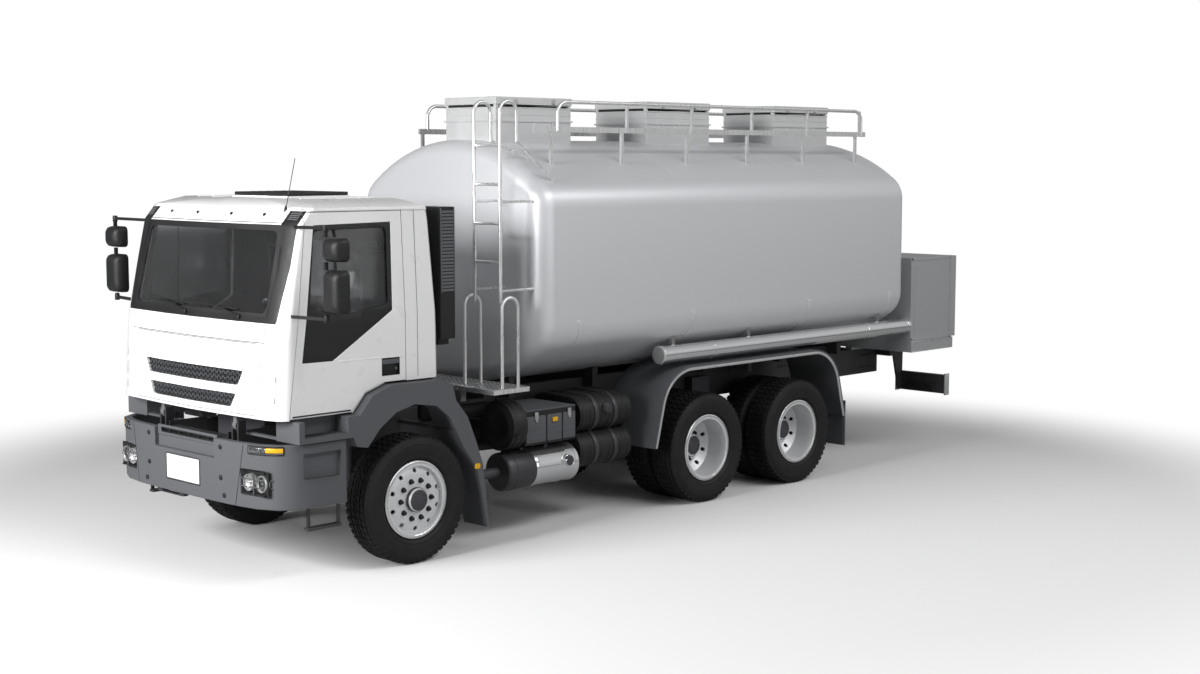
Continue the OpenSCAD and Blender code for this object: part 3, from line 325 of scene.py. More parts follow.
class Shape:
    """A mesh under construction, in metres from the front axle."""

    def __init__(self) -> None:
        self.bm = bmesh.new()

    def box(self, low: Point, high: Point, bevel: float = 0.0, segments: int = 3) -> "Shape":
        """Adds a box between two corners, with rounded edges where bevel is given."""
        made = bmesh.ops.create_cube(self.bm, size=1.0)
        low_v, high_v = Vector(low), Vector(high)
        size, centre = high_v - low_v, (low_v + high_v) / 2
        for vert in made["verts"]:
            vert.co = Vector(c * s for c, s in zip(vert.co, size)) + centre
        if bevel:
            edges = list({e for v in made["verts"] for e in v.link_edges})
            bmesh.ops.bevel(self.bm, geom=edges, offset=bevel, segments=segments, profile=0.6,
                            affect="EDGES")
        return self

    def prism(self, outline: Iterable[Point], axis: str, low: float, high: float) -> "Shape":
        """Adds a flat outline given as two coordinates, with a thickness along an axis."""
        points = list(outline)
        rings = [[self.bm.verts.new(turned((a, *p), axis)) for p in points] for a in (low, high)]
        count = len(points)
        faces = [self.bm.faces.new(rings[0]), self.bm.faces.new(rings[1][::-1])]
        for i in range(count):
            j = (i + 1) % count
            faces.append(self.bm.faces.new((rings[0][i], rings[0][j], rings[1][j], rings[1][i])))
        bmesh.ops.recalc_face_normals(self.bm, faces=faces)
        return self

    def lathe(self, profile: Sequence[Point], centre: Point, axis: str, steps: int = 64) -> "Shape":
        """Adds a turned body: profile is (along, radius), and a radius of 0 closes on the axis."""
        rings: list[list[bmesh.types.BMVert]] = []
        middle = Vector(centre)
        for along, radius in profile:
            if radius < 1e-6:
                rings.append([self.bm.verts.new(middle + turned((along, 0, 0), axis))])
            else:
                rings.append([self.bm.verts.new(middle + turned(
                    (along, radius * math.cos(2 * math.pi * i / steps),
                     radius * math.sin(2 * math.pi * i / steps)), axis)) for i in range(steps)])
        faces = []
        for a, b in zip(rings, rings[1:]):
            for i in range(steps):
                j = (i + 1) % steps
                corners = [a[i % len(a)], a[j % len(a)], b[j % len(b)], b[i % len(b)]]
                unique = list(dict.fromkeys(corners))
                if len(unique) > 2:
                    faces.append(self.bm.faces.new(unique))
        for ring in (rings[0], rings[-1]):
            if len(ring) > 1 and rings[0] is not rings[-1]:
                if (Vector(profile[0]) - Vector(profile[-1])).length > 1e-6:
                    faces.append(self.bm.faces.new(ring))
        if (Vector(profile[0]) - Vector(profile[-1])).length <= 1e-6:
            bmesh.ops.remove_doubles(self.bm, verts=rings[0] + rings[-1], dist=1e-6)
        bmesh.ops.recalc_face_normals(self.bm, faces=[f for f in faces if f.is_valid])
        return self

    def tube(self, points: Sequence[Point], radius: float, sides: int = 14, closed: bool = False) -> "Shape":
        """Adds a round bar that follows points, with flat ends."""
        path = [Vector(p) for p in points]
        rings, last = [], None
        for i, point in enumerate(path):
            before = path[i - 1] if i or closed else point
            after = path[(i + 1) % len(path)] if i + 1 < len(path) or closed else point
            ahead = (after - before).normalized()
            side = last - ahead * last.dot(ahead) if last else ahead.orthogonal()
            side = side.normalized()
            other = ahead.cross(side)
            last = side
            rings.append([self.bm.verts.new(point + side * radius * math.cos(2 * math.pi * k / sides)
                                            + other * radius * math.sin(2 * math.pi * k / sides))
                          for k in range(sides)])
        faces = []
        pairs = list(zip(rings, rings[1:])) + ([(rings[-1], rings[0])] if closed else [])
        for a, b in pairs:
            for k in range(sides):
                m = (k + 1) % sides
                faces.append(self.bm.faces.new((a[k], a[m], b[m], b[k])))
        if not closed:
            faces += [self.bm.faces.new(rings[0][::-1]), self.bm.faces.new(rings[-1])]
        bmesh.ops.recalc_face_normals(self.bm, faces=faces)
        return self

    def loft(self, rings: Sequence[Sequence[Point]], caps: bool = True) -> "Shape":
        """Adds a skin over closed rings of equal count."""
        made = [[self.bm.verts.new(p) for p in ring] for ring in rings]
        faces = []
        for a, b in zip(made, made[1:]):
            for i in range(len(a)):
                j = (i + 1) % len(a)
                faces.append(self.bm.faces.new((a[i], a[j], b[j], b[i])))
        if caps:
            faces += [self.bm.faces.new(made[0]), self.bm.faces.new(made[-1])]
        bmesh.ops.recalc_face_normals(self.bm, faces=faces)
        return self

    def node(self, name: str, keep: Callable[[Vector], bool] | None = None) -> "Shape":
        """Adds a merged copy of a CAD node, without the flat seams between its triangles.

        Args:
            name: The CAD node.
            keep: Tells from a face's middle whether the face is kept.
        """
        copy = bmesh.new()
        copy.from_mesh(frame["nodes"][name].data)
        copy.transform(Matrix.Translation((0, -AXLE_Y, 0)))
        bmesh.ops.remove_doubles(copy, verts=copy.verts, dist=2e-5)
        bmesh.ops.dissolve_degenerate(copy, edges=copy.edges, dist=1e-5)
        bmesh.ops.dissolve_limit(copy, angle_limit=math.radians(1.0), verts=copy.verts, edges=copy.edges)
        if keep:
            gone = [f for f in copy.faces if not keep(f.calc_center_median())]
            bmesh.ops.delete(copy, geom=gone, context="FACES")
        mesh = bpy.data.meshes.new("copy")
        copy.to_mesh(mesh)
        copy.free()
        self.bm.from_mesh(mesh)
        bpy.data.meshes.remove(mesh)
        return self

    def mesh(self, data: bpy.types.Mesh, matrix: Matrix) -> "Shape":
        """Adds a plain mesh, placed by a matrix."""
        start = len(self.bm.verts)
        self.bm.from_mesh(data)
        self.bm.verts.ensure_lookup_table()
        for vert in self.bm.verts[start:]:
            vert.co = matrix @ vert.co
        return self

    def cut(self, tool: "Shape") -> "Shape":
        """Takes another closed shape out of this one."""
        pair = []
        for name, source in (("base", self), ("tool", tool)):
            data = bpy.data.meshes.new(name)
            source.bm.to_mesh(data)
            thing = bpy.data.objects.new(name, data)
            bpy.context.scene.collection.objects.link(thing)
            pair.append(thing)
        step = pair[0].modifiers.new("cut", "BOOLEAN")
        step.operation = "DIFFERENCE"
        step.solver = "EXACT"
        step.object = pair[1]
        result = flattened(pair[0])
        self.bm.clear()
        self.bm.from_mesh(result)
        tool.bm.free()
        for thing in pair:
            bpy.data.objects.remove(thing)
        return self

    def mirrored(self) -> "Shape":
        """Adds the same again on the right-hand side."""
        made = bmesh.ops.duplicate(self.bm, geom=self.bm.verts[:] + self.bm.edges[:] + self.bm.faces[:])
        for part in made["geom"]:
            if isinstance(part, bmesh.types.BMVert):
                part.co.x = -part.co.x
        bmesh.ops.reverse_faces(self.bm, faces=[p for p in made["geom"] if isinstance(p, bmesh.types.BMFace)])
        return self

    def flipped(self) -> "Shape":
        """Moves everything to the right-hand side."""
        for vert in self.bm.verts:
            vert.co.x = -vert.co.x
        bmesh.ops.reverse_faces(self.bm, faces=self.bm.faces[:])
        return self

    def done(self, name: str, finish: Dressing, body: str, slot: str, bevel: float = 0.0,
             replaces: Sequence[str] = (), sharp: float = 38.0, segments: int = 2,
             subdivide: int = 0, even: bool = False) -> bpy.types.Object:
        """Turns the mesh into a finished piece on its body.

        Args:
            name: The piece's name.
            finish: What it is dressed in.
            body: The CAD body it rides on.
            slot: The record's material slot; not used.
            bevel: Width of the rounding on sharp edges.
            replaces: CAD nodes that it stands for.
            sharp: Angle in degrees above which an edge stays sharp.
            segments: Steps in each rounding.
            subdivide: Levels of subdivision.
            even: Gives large flat faces even shading.

        Returns:
            The finished object, at the origin.
        """
        mesh = bpy.data.meshes.new(name)
        self.bm.to_mesh(mesh)
        self.bm.free()
        mesh.transform(Matrix.Translation((0, AXLE_Y, 0)))
        piece = bpy.data.objects.new(name, mesh)
        bpy.context.scene.collection.objects.link(piece)
        if bevel:
            rounding = piece.modifiers.new("rounding", "BEVEL")
            rounding.width = bevel
            rounding.segments = segments
            rounding.limit_method = "ANGLE"
            rounding.angle_limit = math.radians(30)
            rounding.use_clamp_overlap = True
            rounding.miter_outer = "MITER_ARC"
        if subdivide:
            smoothing = piece.modifiers.new("smoothing", "SUBSURF")
            smoothing.levels = smoothing.render_levels = subdivide
        if bevel or subdivide:
            plain = flattened(piece)
            piece.modifiers.clear()
            piece.data = plain
            plain.name = name
        piece.data.shade_smooth()
        piece.data.set_sharp_from_angle(angle=math.radians(sharp))
        if even:
            weigh = piece.modifiers.new("even", "WEIGHTED_NORMAL")
            weigh.keep_sharp = True
            plain = flattened(piece)
            piece.modifiers.clear()
            piece.data = plain
            plain.name = name
        piece.data.materials.clear()
        piece.data.materials.append(finish.material())
        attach(piece, body)
        if replaces:
            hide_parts(*replaces)
        LOG.info("%s on %s: %d faces", name, body, len(piece.data.polygons))
        return piece


def flattened(piece: bpy.types.Object) -> bpy.types.Mesh:
    """A plain mesh of an object with its modifiers carried out."""
    graph = bpy.context.evaluated_depsgraph_get()
    graph.update()
    return bpy.data.meshes.new_from_object(piece.evaluated_get(graph))


def bezier(points: Sequence[Point], steps: int = 10, reach: float = 0.06) -> list[Vector]:
    """Rounds the corners of a chain of points with quadratic bends.

    Args:
        points: The chain's corners.
        steps: Points in each bend.
        reach: How far from its corner a bend starts.

    Returns:
        The chain with rounded corners.
    """
    path = [Vector(p) for p in points]
    out = [path[0]]
    for a, b, c in zip(path, path[1:], path[2:]):
        near = min(reach, (b - a).length * 0.49, (c - b).length * 0.49)
        start, end = b + (a - b).normalized() * near, b + (c - b).normalized() * near
        for i in range(steps + 1):
            t = i / steps
            out.append(start * (1 - t) ** 2 + b * 2 * t * (1 - t) + end * t * t)
    out.append(path[-1])
    return out


def rounded(outline: Sequence[Point], reach: float = 0.02, steps: int = 4) -> list[tuple[float, float]]:
    """Rounds the corners of a closed flat outline."""
    points = [Vector((*p, 0.0)) for p in outline]
    out = []
    for i, b in enumerate(points):
        a, c = points[i - 1], points[(i + 1) % len(points)]
        near = min(reach, (b - a).length * 0.45, (c - b).length * 0.45)
        start, end = b + (a - b).normalized() * near, b + (c - b).normalized() * near
        for k in range(steps + 1):
            t = k / steps
            p = start * (1 - t) ** 2 + b * 2 * t * (1 - t) + end * t * t
            out.append((p.x, p.y))
    return out


def rectangle(u0: float, v0: float, u1: float, v1: float) -> list[tuple[float, float]]:
    """A flat rectangle's corners."""
    return [(u0, v0), (u1, v0), (u1, v1), (u0, v1)]


# ---- repeats made by geometry nodes ----

class Layout(Enum):
    """How a repeated part is laid out."""

    RING = "ring"
    ROW = "row"
    HONEYCOMB = "honeycomb"


@dataclass(frozen=True)
class Repeat:
    """A geometry-nodes tree that repeats a part.

    RING stands copies on a circle in the plane z = 0 and turns each with its angle, ROW puts them on a
    line along x, and HONEYCOMB fills a rectangle in x and y with staggered copies.
    """

    layout: Layout
    count: int
    size: float
    rows: int = 1
    pitch: float = 0.0
    seed: int = 7
    wander: float = 0.0

    def tree(self, material: bpy.types.Material) -> tuple[bpy.types.NodeTree, dict[str, str]]:
        """Builds the node tree.

        Args:
            material: What the copies are dressed in.

        Returns:
            The tree, and the identifier of each named input.
        """
        tree = bpy.data.node_groups.new(f"repeat_{self.layout.value}", "GeometryNodeTree")
        face = tree.interface
        sockets = {"Part": "NodeSocketObject", "Count": "NodeSocketInt", "Size": "NodeSocketFloat",
                   "Rows": "NodeSocketInt", "Pitch": "NodeSocketFloat", "Seed": "NodeSocketInt",
                   "Wander": "NodeSocketFloat"}
        keys = {name: face.new_socket(name, in_out="INPUT", socket_type=kind).identifier
                for name, kind in sockets.items()}
        face.new_socket("Geometry", in_out="OUTPUT", socket_type="NodeSocketGeometry")
        nodes, links = tree.nodes, tree.links
        source = nodes.new("NodeGroupInput")
        out = nodes.new("NodeGroupOutput")
        part = nodes.new("GeometryNodeObjectInfo")
        links.new(source.outputs["Part"], part.inputs["Object"])
        places, turn = self._places(tree, source)
        stand = nodes.new("GeometryNodeInstanceOnPoints")
        links.new(places, stand.inputs["Points"])
        links.new(part.outputs["Geometry"], stand.inputs["Instance"])
        if turn:
            links.new(turn, stand.inputs["Rotation"])
        chance = nodes.new("FunctionNodeRandomValue")
        chance.data_type = "FLOAT"
        spread = nodes.new("ShaderNodeMath")
        spread.operation = "SUBTRACT"
        spread.inputs[0].default_value = 1.0
        links.new(source.outputs["Wander"], spread.inputs[1])
        links.new(spread.outputs[0], chance.inputs[2])
        chance.inputs[3].default_value = 1.0
        links.new(source.outputs["Seed"], chance.inputs["Seed"])
        links.new(chance.outputs[1], stand.inputs["Scale"])
        realize = nodes.new("GeometryNodeRealizeInstances")
        links.new(stand.outputs["Instances"], realize.inputs["Geometry"])
        dress = nodes.new("GeometryNodeSetMaterial")
        dress.inputs["Material"].default_value = material
        links.new(realize.outputs["Geometry"], dress.inputs["Geometry"])
        links.new(dress.outputs["Geometry"], out.inputs["Geometry"])
        return tree, keys

    def _places(self, tree: bpy.types.NodeTree, source: bpy.types.Node
                ) -> tuple[bpy.types.NodeSocket, bpy.types.NodeSocket | None]:
        """The points that the part stands on, and the turn at each."""
        nodes, links = tree.nodes, tree.links
        if self.layout is Layout.RING:
            ring = nodes.new("GeometryNodeMeshCircle")
            links.new(source.outputs["Count"], ring.inputs["Vertices"])
            links.new(source.outputs["Size"], ring.inputs["Radius"])
            index = nodes.new("GeometryNodeInputIndex")
            share = nodes.new("ShaderNodeMath")
            share.operation = "DIVIDE"
            links.new(index.outputs[0], share.inputs[0])
            links.new(source.outputs["Count"], share.inputs[1])
            angle = nodes.new("ShaderNodeMath")
            angle.operation = "MULTIPLY"
            angle.inputs[1].default_value = 2 * math.pi
            links.new(share.outputs[0], angle.inputs[0])
            vector = nodes.new("ShaderNodeCombineXYZ")
            links.new(angle.outputs[0], vector.inputs["Z"])
            turn = nodes.new("FunctionNodeEulerToRotation")
            links.new(vector.outputs[0], turn.inputs[0])
            return ring.outputs["Mesh"], turn.outputs[0]
        if self.layout is Layout.ROW:
            row = nodes.new("GeometryNodeMeshLine")
            row.mode = "END_POINTS"
            links.new(source.outputs["Count"], row.inputs["Count"])
            end = nodes.new("ShaderNodeCombineXYZ")
            links.new(source.outputs["Size"], end.inputs["X"])
            links.new(end.outputs[0], row.inputs["Offset"])
            return row.outputs["Mesh"], None
        grid = nodes.new("GeometryNodeMeshGrid")
        height = nodes.new("ShaderNodeMath")
        height.operation = "MULTIPLY"
        links.new(source.outputs["Rows"], height.inputs[0])
        links.new(source.outputs["Pitch"], height.inputs[1])
        links.new(source.outputs["Size"], grid.inputs["Size X"])
        links.new(height.outputs[0], grid.inputs["Size Y"])
        links.new(source.outputs["Count"], grid.inputs["Vertices X"])
        links.new(source.outputs["Rows"], grid.inputs["Vertices Y"])
        shift = nodes.new("GeometryNodeSetPosition")
        links.new(grid.outputs["Mesh"], shift.inputs["Geometry"])
        index = nodes.new("GeometryNodeInputIndex")
        column = nodes.new("ShaderNodeMath")
        column.operation = "DIVIDE"
        links.new(index.outputs[0], column.inputs[0])
        links.new(source.outputs["Rows"], column.inputs[1])
        whole = nodes.new("ShaderNodeMath")
        whole.operation = "FLOOR"
        links.new(column.outputs[0], whole.inputs[0])
        parity = nodes.new("ShaderNodeMath")
        parity.operation = "MODULO"
        parity.inputs[1].default_value = 2.0
        links.new(whole.outputs[0], parity.inputs[0])
        slide = nodes.new("ShaderNodeMath")
        slide.operation = "MULTIPLY"
        links.new(parity.outputs[0], slide.inputs[0])
        half = nodes.new("ShaderNodeMath")
        half.operation = "MULTIPLY"
        half.inputs[1].default_value = 0.5
        links.new(source.outputs["Pitch"], half.inputs[0])
        links.new(half.outputs[0], slide.inputs[1])
        offset = nodes.new("ShaderNodeCombineXYZ")
        links.new(slide.outputs[0], offset.inputs["Y"])
        links.new(offset.outputs[0], shift.inputs["Offset"])
        return shift.outputs["Geometry"], None

    def made(self, part: Shape, finish: Dressing) -> bpy.types.Mesh:
        """Carries the repeat out.

        Args:
            part: The shape that is repeated, round its own origin.
            finish: What the copies are dressed in.

        Returns:
            A plain mesh of all copies.
        """
        source = bpy.data.meshes.new("part")
        part.bm.to_mesh(source)
        part.bm.free()
        model = bpy.data.objects.new("part", source)
        bpy.context.scene.collection.objects.link(model)
        host = bpy.data.objects.new("host", bpy.data.meshes.new("host"))
        bpy.context.scene.collection.objects.link(host)
        tree, keys = self.tree(finish.material())
        step = host.modifiers.new("repeat", "NODES")
        step.node_group = tree
        for name, value in (("Part", model), ("Count", self.count), ("Size", self.size), ("Rows", self.rows),
                            ("Pitch", self.pitch), ("Seed", self.seed), ("Wander", self.wander)):
            step[keys[name]] = value
        result = flattened(host)
        for thing in (host, model):
            bpy.data.objects.remove(thing)
        return result


# ---- shared helpers of the sub-assemblies ----

def refined(node: str, finish: Dressing, bevel: float = 0.003, name: str = "", sharp: float = 38.0,
            keep: Callable[[Vector], bool] | None = None, whole: bool = True) -> bpy.types.Object:
    """A finished copy of a CAD node, with softened edges.

    Args:
        node: The CAD node.
        finish: What it is dressed in.
        bevel: Width of the rounding.
        name: The piece's name, or nothing for the node's own.
        sharp: Angle above which an edge stays sharp.
        keep: Tells from a face's middle whether the face is kept.
        whole: Whether the piece stands for the node.
    """
    return Shape().node(node, keep).done(name or f"{node}_body", finish, BODY_OF[node], SLOT_OF[node], bevel,
                                         [node] if whole else (), sharp, even=bevel > 0)


def bolt(size: float, height: float, washer: float = 1.5) -> Shape:
    """A hexagon bolt head on a washer, standing on z = 0 round the origin."""
    ring = [(size * math.cos(math.pi * i / 3), size * math.sin(math.pi * i / 3)) for i in range(6)]
    shape = Shape().lathe([(0.0, 0.0), (0.0, size * washer), (height * 0.22, size * washer * 0.96),
                           (height * 0.25, 0.0)], (0, 0, 0), "Z", 20)
    return shape.prism(ring, "Z", height * 0.2, height).lathe(
        [(height, 0.0), (height, size * 0.62), (height * 1.12, size * 0.5), (height * 1.14, 0.0)],
        (0, 0, 0), "Z", 16)


def facing(axis: str, sign: int, centre: Point) -> Matrix:
    """Places something that stands on z = 0 so that it stands out along an axis."""
    out = {"X": Vector((sign, 0, 0)), "Y": Vector((0, sign, 0)), "Z": Vector((0, 0, sign))}[axis]
    return Matrix.Translation(Vector(centre)) @ out.to_track_quat("Z", "Y").to_matrix().to_4x4()


def bolts(places: Iterable[Point], axis: str, sign: int, size: float, height: float) -> Shape:
    """Bolt heads at places, standing out along an axis."""
    shape = Shape()
    for place in places:
        head = bolt(size, height)
        data = bpy.data.meshes.new("head")
        head.bm.to_mesh(data)
        head.bm.free()
        shape.mesh(data, facing(axis, sign, place))
    return shape


def along_x(side: int, centre: Point) -> Matrix:
    """Turns a ring made in the plane z = 0 so that it stands round an axle, outwards on a side."""
    turn = Matrix(((0, 0, side, 0), (side, 0, 0, 0), (0, 1, 0, 0), (0, 0, 0, 1)))
    return Matrix.Translation(Vector(centre)) @ turn


def half_round(radius: float, steps: int, begin: float, end: float,
               centre: Point) -> list[tuple[float, float]]:
    """Points on an arc, in degrees."""
    return [(centre[0] + radius * math.cos(math.radians(begin + (end - begin) * i / steps)),
             centre[1] + radius * math.sin(math.radians(begin + (end - begin) * i / steps)))
            for i in range(steps + 1)]


# ---- wheels ----

class Side(Enum):
    """The truck's two sides."""

    LEFT = 1
    RIGHT = -1

    @property
    def word(self) -> str:
        """left or right."""
        return self.name.lower()


@dataclass
class Wheel:
    """Tyres and rims of one wheel end, a single or a twin pair."""

    prefix: str
    side: Side
    centre_y: float
    track: float
    twin: bool = False
    width: float = 0.30
    bead: float = 0.2863
    groove: float = 0.012
    blocks: int = 54
    spacing: float = 0.338

    @property
    def middles(self) -> list[float]:
        """x of the middle plane of each tyre."""
        if not self.twin:
            return [self.side.value * self.track]
        return [self.side.value * (self.track + s * self.spacing / 2) for s in (-1, 1)]

    def section(self) -> list[tuple[float, float]]:
        """Tyre section as (distance from the middle plane, radius), a closed loop."""
        w = self.width / 2
        crown = TYRE_R - self.groove
        half = [(w - 0.046, self.bead), (w - 0.041, 0.3195), (w - 0.030, 0.3275), (w - 0.016, 0.338),
                (w - 0.010, 0.348), (w - 0.008, 0.353), (w - 0.0095, 0.3565), (w - 0.004, 0.378),
                (w - 0.001, 0.400), (w - 0.0008, 0.418), (w - 0.003, 0.446), (w - 0.0035, 0.4500),
                (w - 0.0015, 0.4535), (w - 0.0035, 0.457), (w - 0.008, 0.474), (w - 0.015, 0.489),
                (w - 0.0165, 0.492), (w - 0.0205, 0.500), (w - 0.030, crown - 0.003), (w - 0.044, crown)]
        return half + [(-a, r) for a, r in reversed(half)] + [half[0]]

    def tread(self) -> Shape:
        """One pitch of the tread, standing round the origin with its height along x."""
        part = Shape()
        top, foot = self.groove - 0.0018, -0.004
        for low, high, shift in ((-0.104, -0.062, 0.006), (-0.052, -0.018, -0.004), (-0.010, 0.010, 0.010),
                                 (0.018, 0.052, -0.004), (0.062, 0.104, 0.006)):
            outline = [(-0.0225 + shift, low), (0.0225 + shift, low + 0.004), (0.0225 + shift, high),
                       (-0.0225 + shift, high - 0.004)]
            part.prism(outline, "X", foot, top)
        for low, high in ((0.106, 0.1285), (-0.1285, -0.106)):
            part.box((foot - 0.010, -0.020, low), (top - 0.005, 0.020, high), 0.003, 1)
        return part

    def build(self) -> None:
        """Makes tyres, rims, hub, caps and bolts."""
        body = BODY_OF[f"{self.prefix}_rim{'s' if self.twin else ''}"]
        tyres = f"{self.prefix}_tyre{'s' if self.twin else ''}"
        rims = f"{self.prefix}_rim{'s' if self.twin else ''}"
        shape, treads = Shape(), Shape()
        ring = Repeat(Layout.RING, self.blocks, TYRE_R - self.groove).made(self.tread(), RUBBER)
        for middle in self.middles:
            place = (middle, self.centre_y, AXLE_Z)
            shape.lathe(self.section(), place, "X", 128)
            treads.mesh(ring, along_x(self.side.value, place))
        shape.done(f"{tyres}_carcass", RUBBER, body, "tyre", replaces=[tyres], sharp=50)
        treads.done(f"{tyres}_tread", RUBBER, body, "tyre", sharp=30)
        refined(rims, RIM_SILVER, 0.003, sharp=30)
        self.hub(body)
        self.trims(body)

    def hub(self, body: str) -> None:
        """The dark hub with its stepped cap and its ring of small bolts."""
        s = self.side.value
        if self.twin:
            base, end, radius = self.track + 0.0142, self.track + 0.1206, 0.1132
        else:
            base, end, radius = self.track + 0.1182, self.track + 0.1646, 0.1012
        face = end - 0.020
        profile = [(base, 0.0), (base, radius), (face - 0.004, radius), (face, radius - 0.004),
                   (face + 0.001, radius * 0.90), (end - 0.002, radius * 0.835), (end, radius * 0.80),
                   (end, 0.0)]
        cap = Shape().lathe([(s * a, r) for a, r in profile], (0, self.centre_y, AXLE_Z), "X", 64)
        ring = Repeat(Layout.RING, 10, radius * 0.62).made(bolt(0.0075, 0.004), DARK_BOLT)
        cap.mesh(ring, along_x(s, (s * end, self.centre_y, AXLE_Z)))
        cap.lathe([(s * (end - 0.001), 0.0), (s * (end - 0.001), radius * 0.40),
                   (s * (end + 0.003), radius * 0.36),
                   (s * (end + 0.004), 0.0)], (0, self.centre_y, AXLE_Z), "X", 40)
        cap.done(f"{self.prefix}_hub_cap", CAST_DARK, body, "rim_silver", sharp=30)

    def trims(self, body: str) -> None:
        """Wheel nuts on the disc, and the bright lip round the outer rim."""
        s = self.side.value
        disc = self.track + (0.014 if self.twin else 0.118)
        nuts = Shape().mesh(Repeat(Layout.RING, 10, 0.158).made(bolt(0.0155, 0.026), DARK_BOLT),
                            along_x(s, (s * disc, self.centre_y, AXLE_Z)))
        nuts.done(f"{self.prefix}_wheel_nuts", DARK_BOLT, body, "rim_silver", sharp=30)
        outer = self.track + (self.spacing / 2 if self.twin else 0.0) + self.width / 2
        lip = [(outer - 0.033, 0.2875), (outer - 0.0245, 0.292), (outer - 0.0235, 0.300),
               (outer - 0.0240, 0.3125), (outer - 0.028, 0.3165), (outer - 0.033, 0.3140)]
        Shape().lathe([(s * a, r) for a, r in lip + lip[:1]], (0, self.centre_y, AXLE_Z), "X", 128).done(
            f"{self.prefix}_rim_lip", BRIGHT_STEEL, body, "rim_silver", sharp=60)
        valve = Shape().tube(bezier([(s * (disc + 0.001), self.centre_y + 0.235, AXLE_Z + 0.060),
                                     (s * (disc + 0.020), self.centre_y + 0.235, AXLE_Z + 0.060),
                                     (s * (disc + 0.030), self.centre_y + 0.262, AXLE_Z + 0.066)], 5, 0.01),
                             0.0042, 8)
        if not self.twin:
            valve.done(f"{self.prefix}_valve", ZINC, body, "rim_silver")


# ---- tank and what stands on it ----

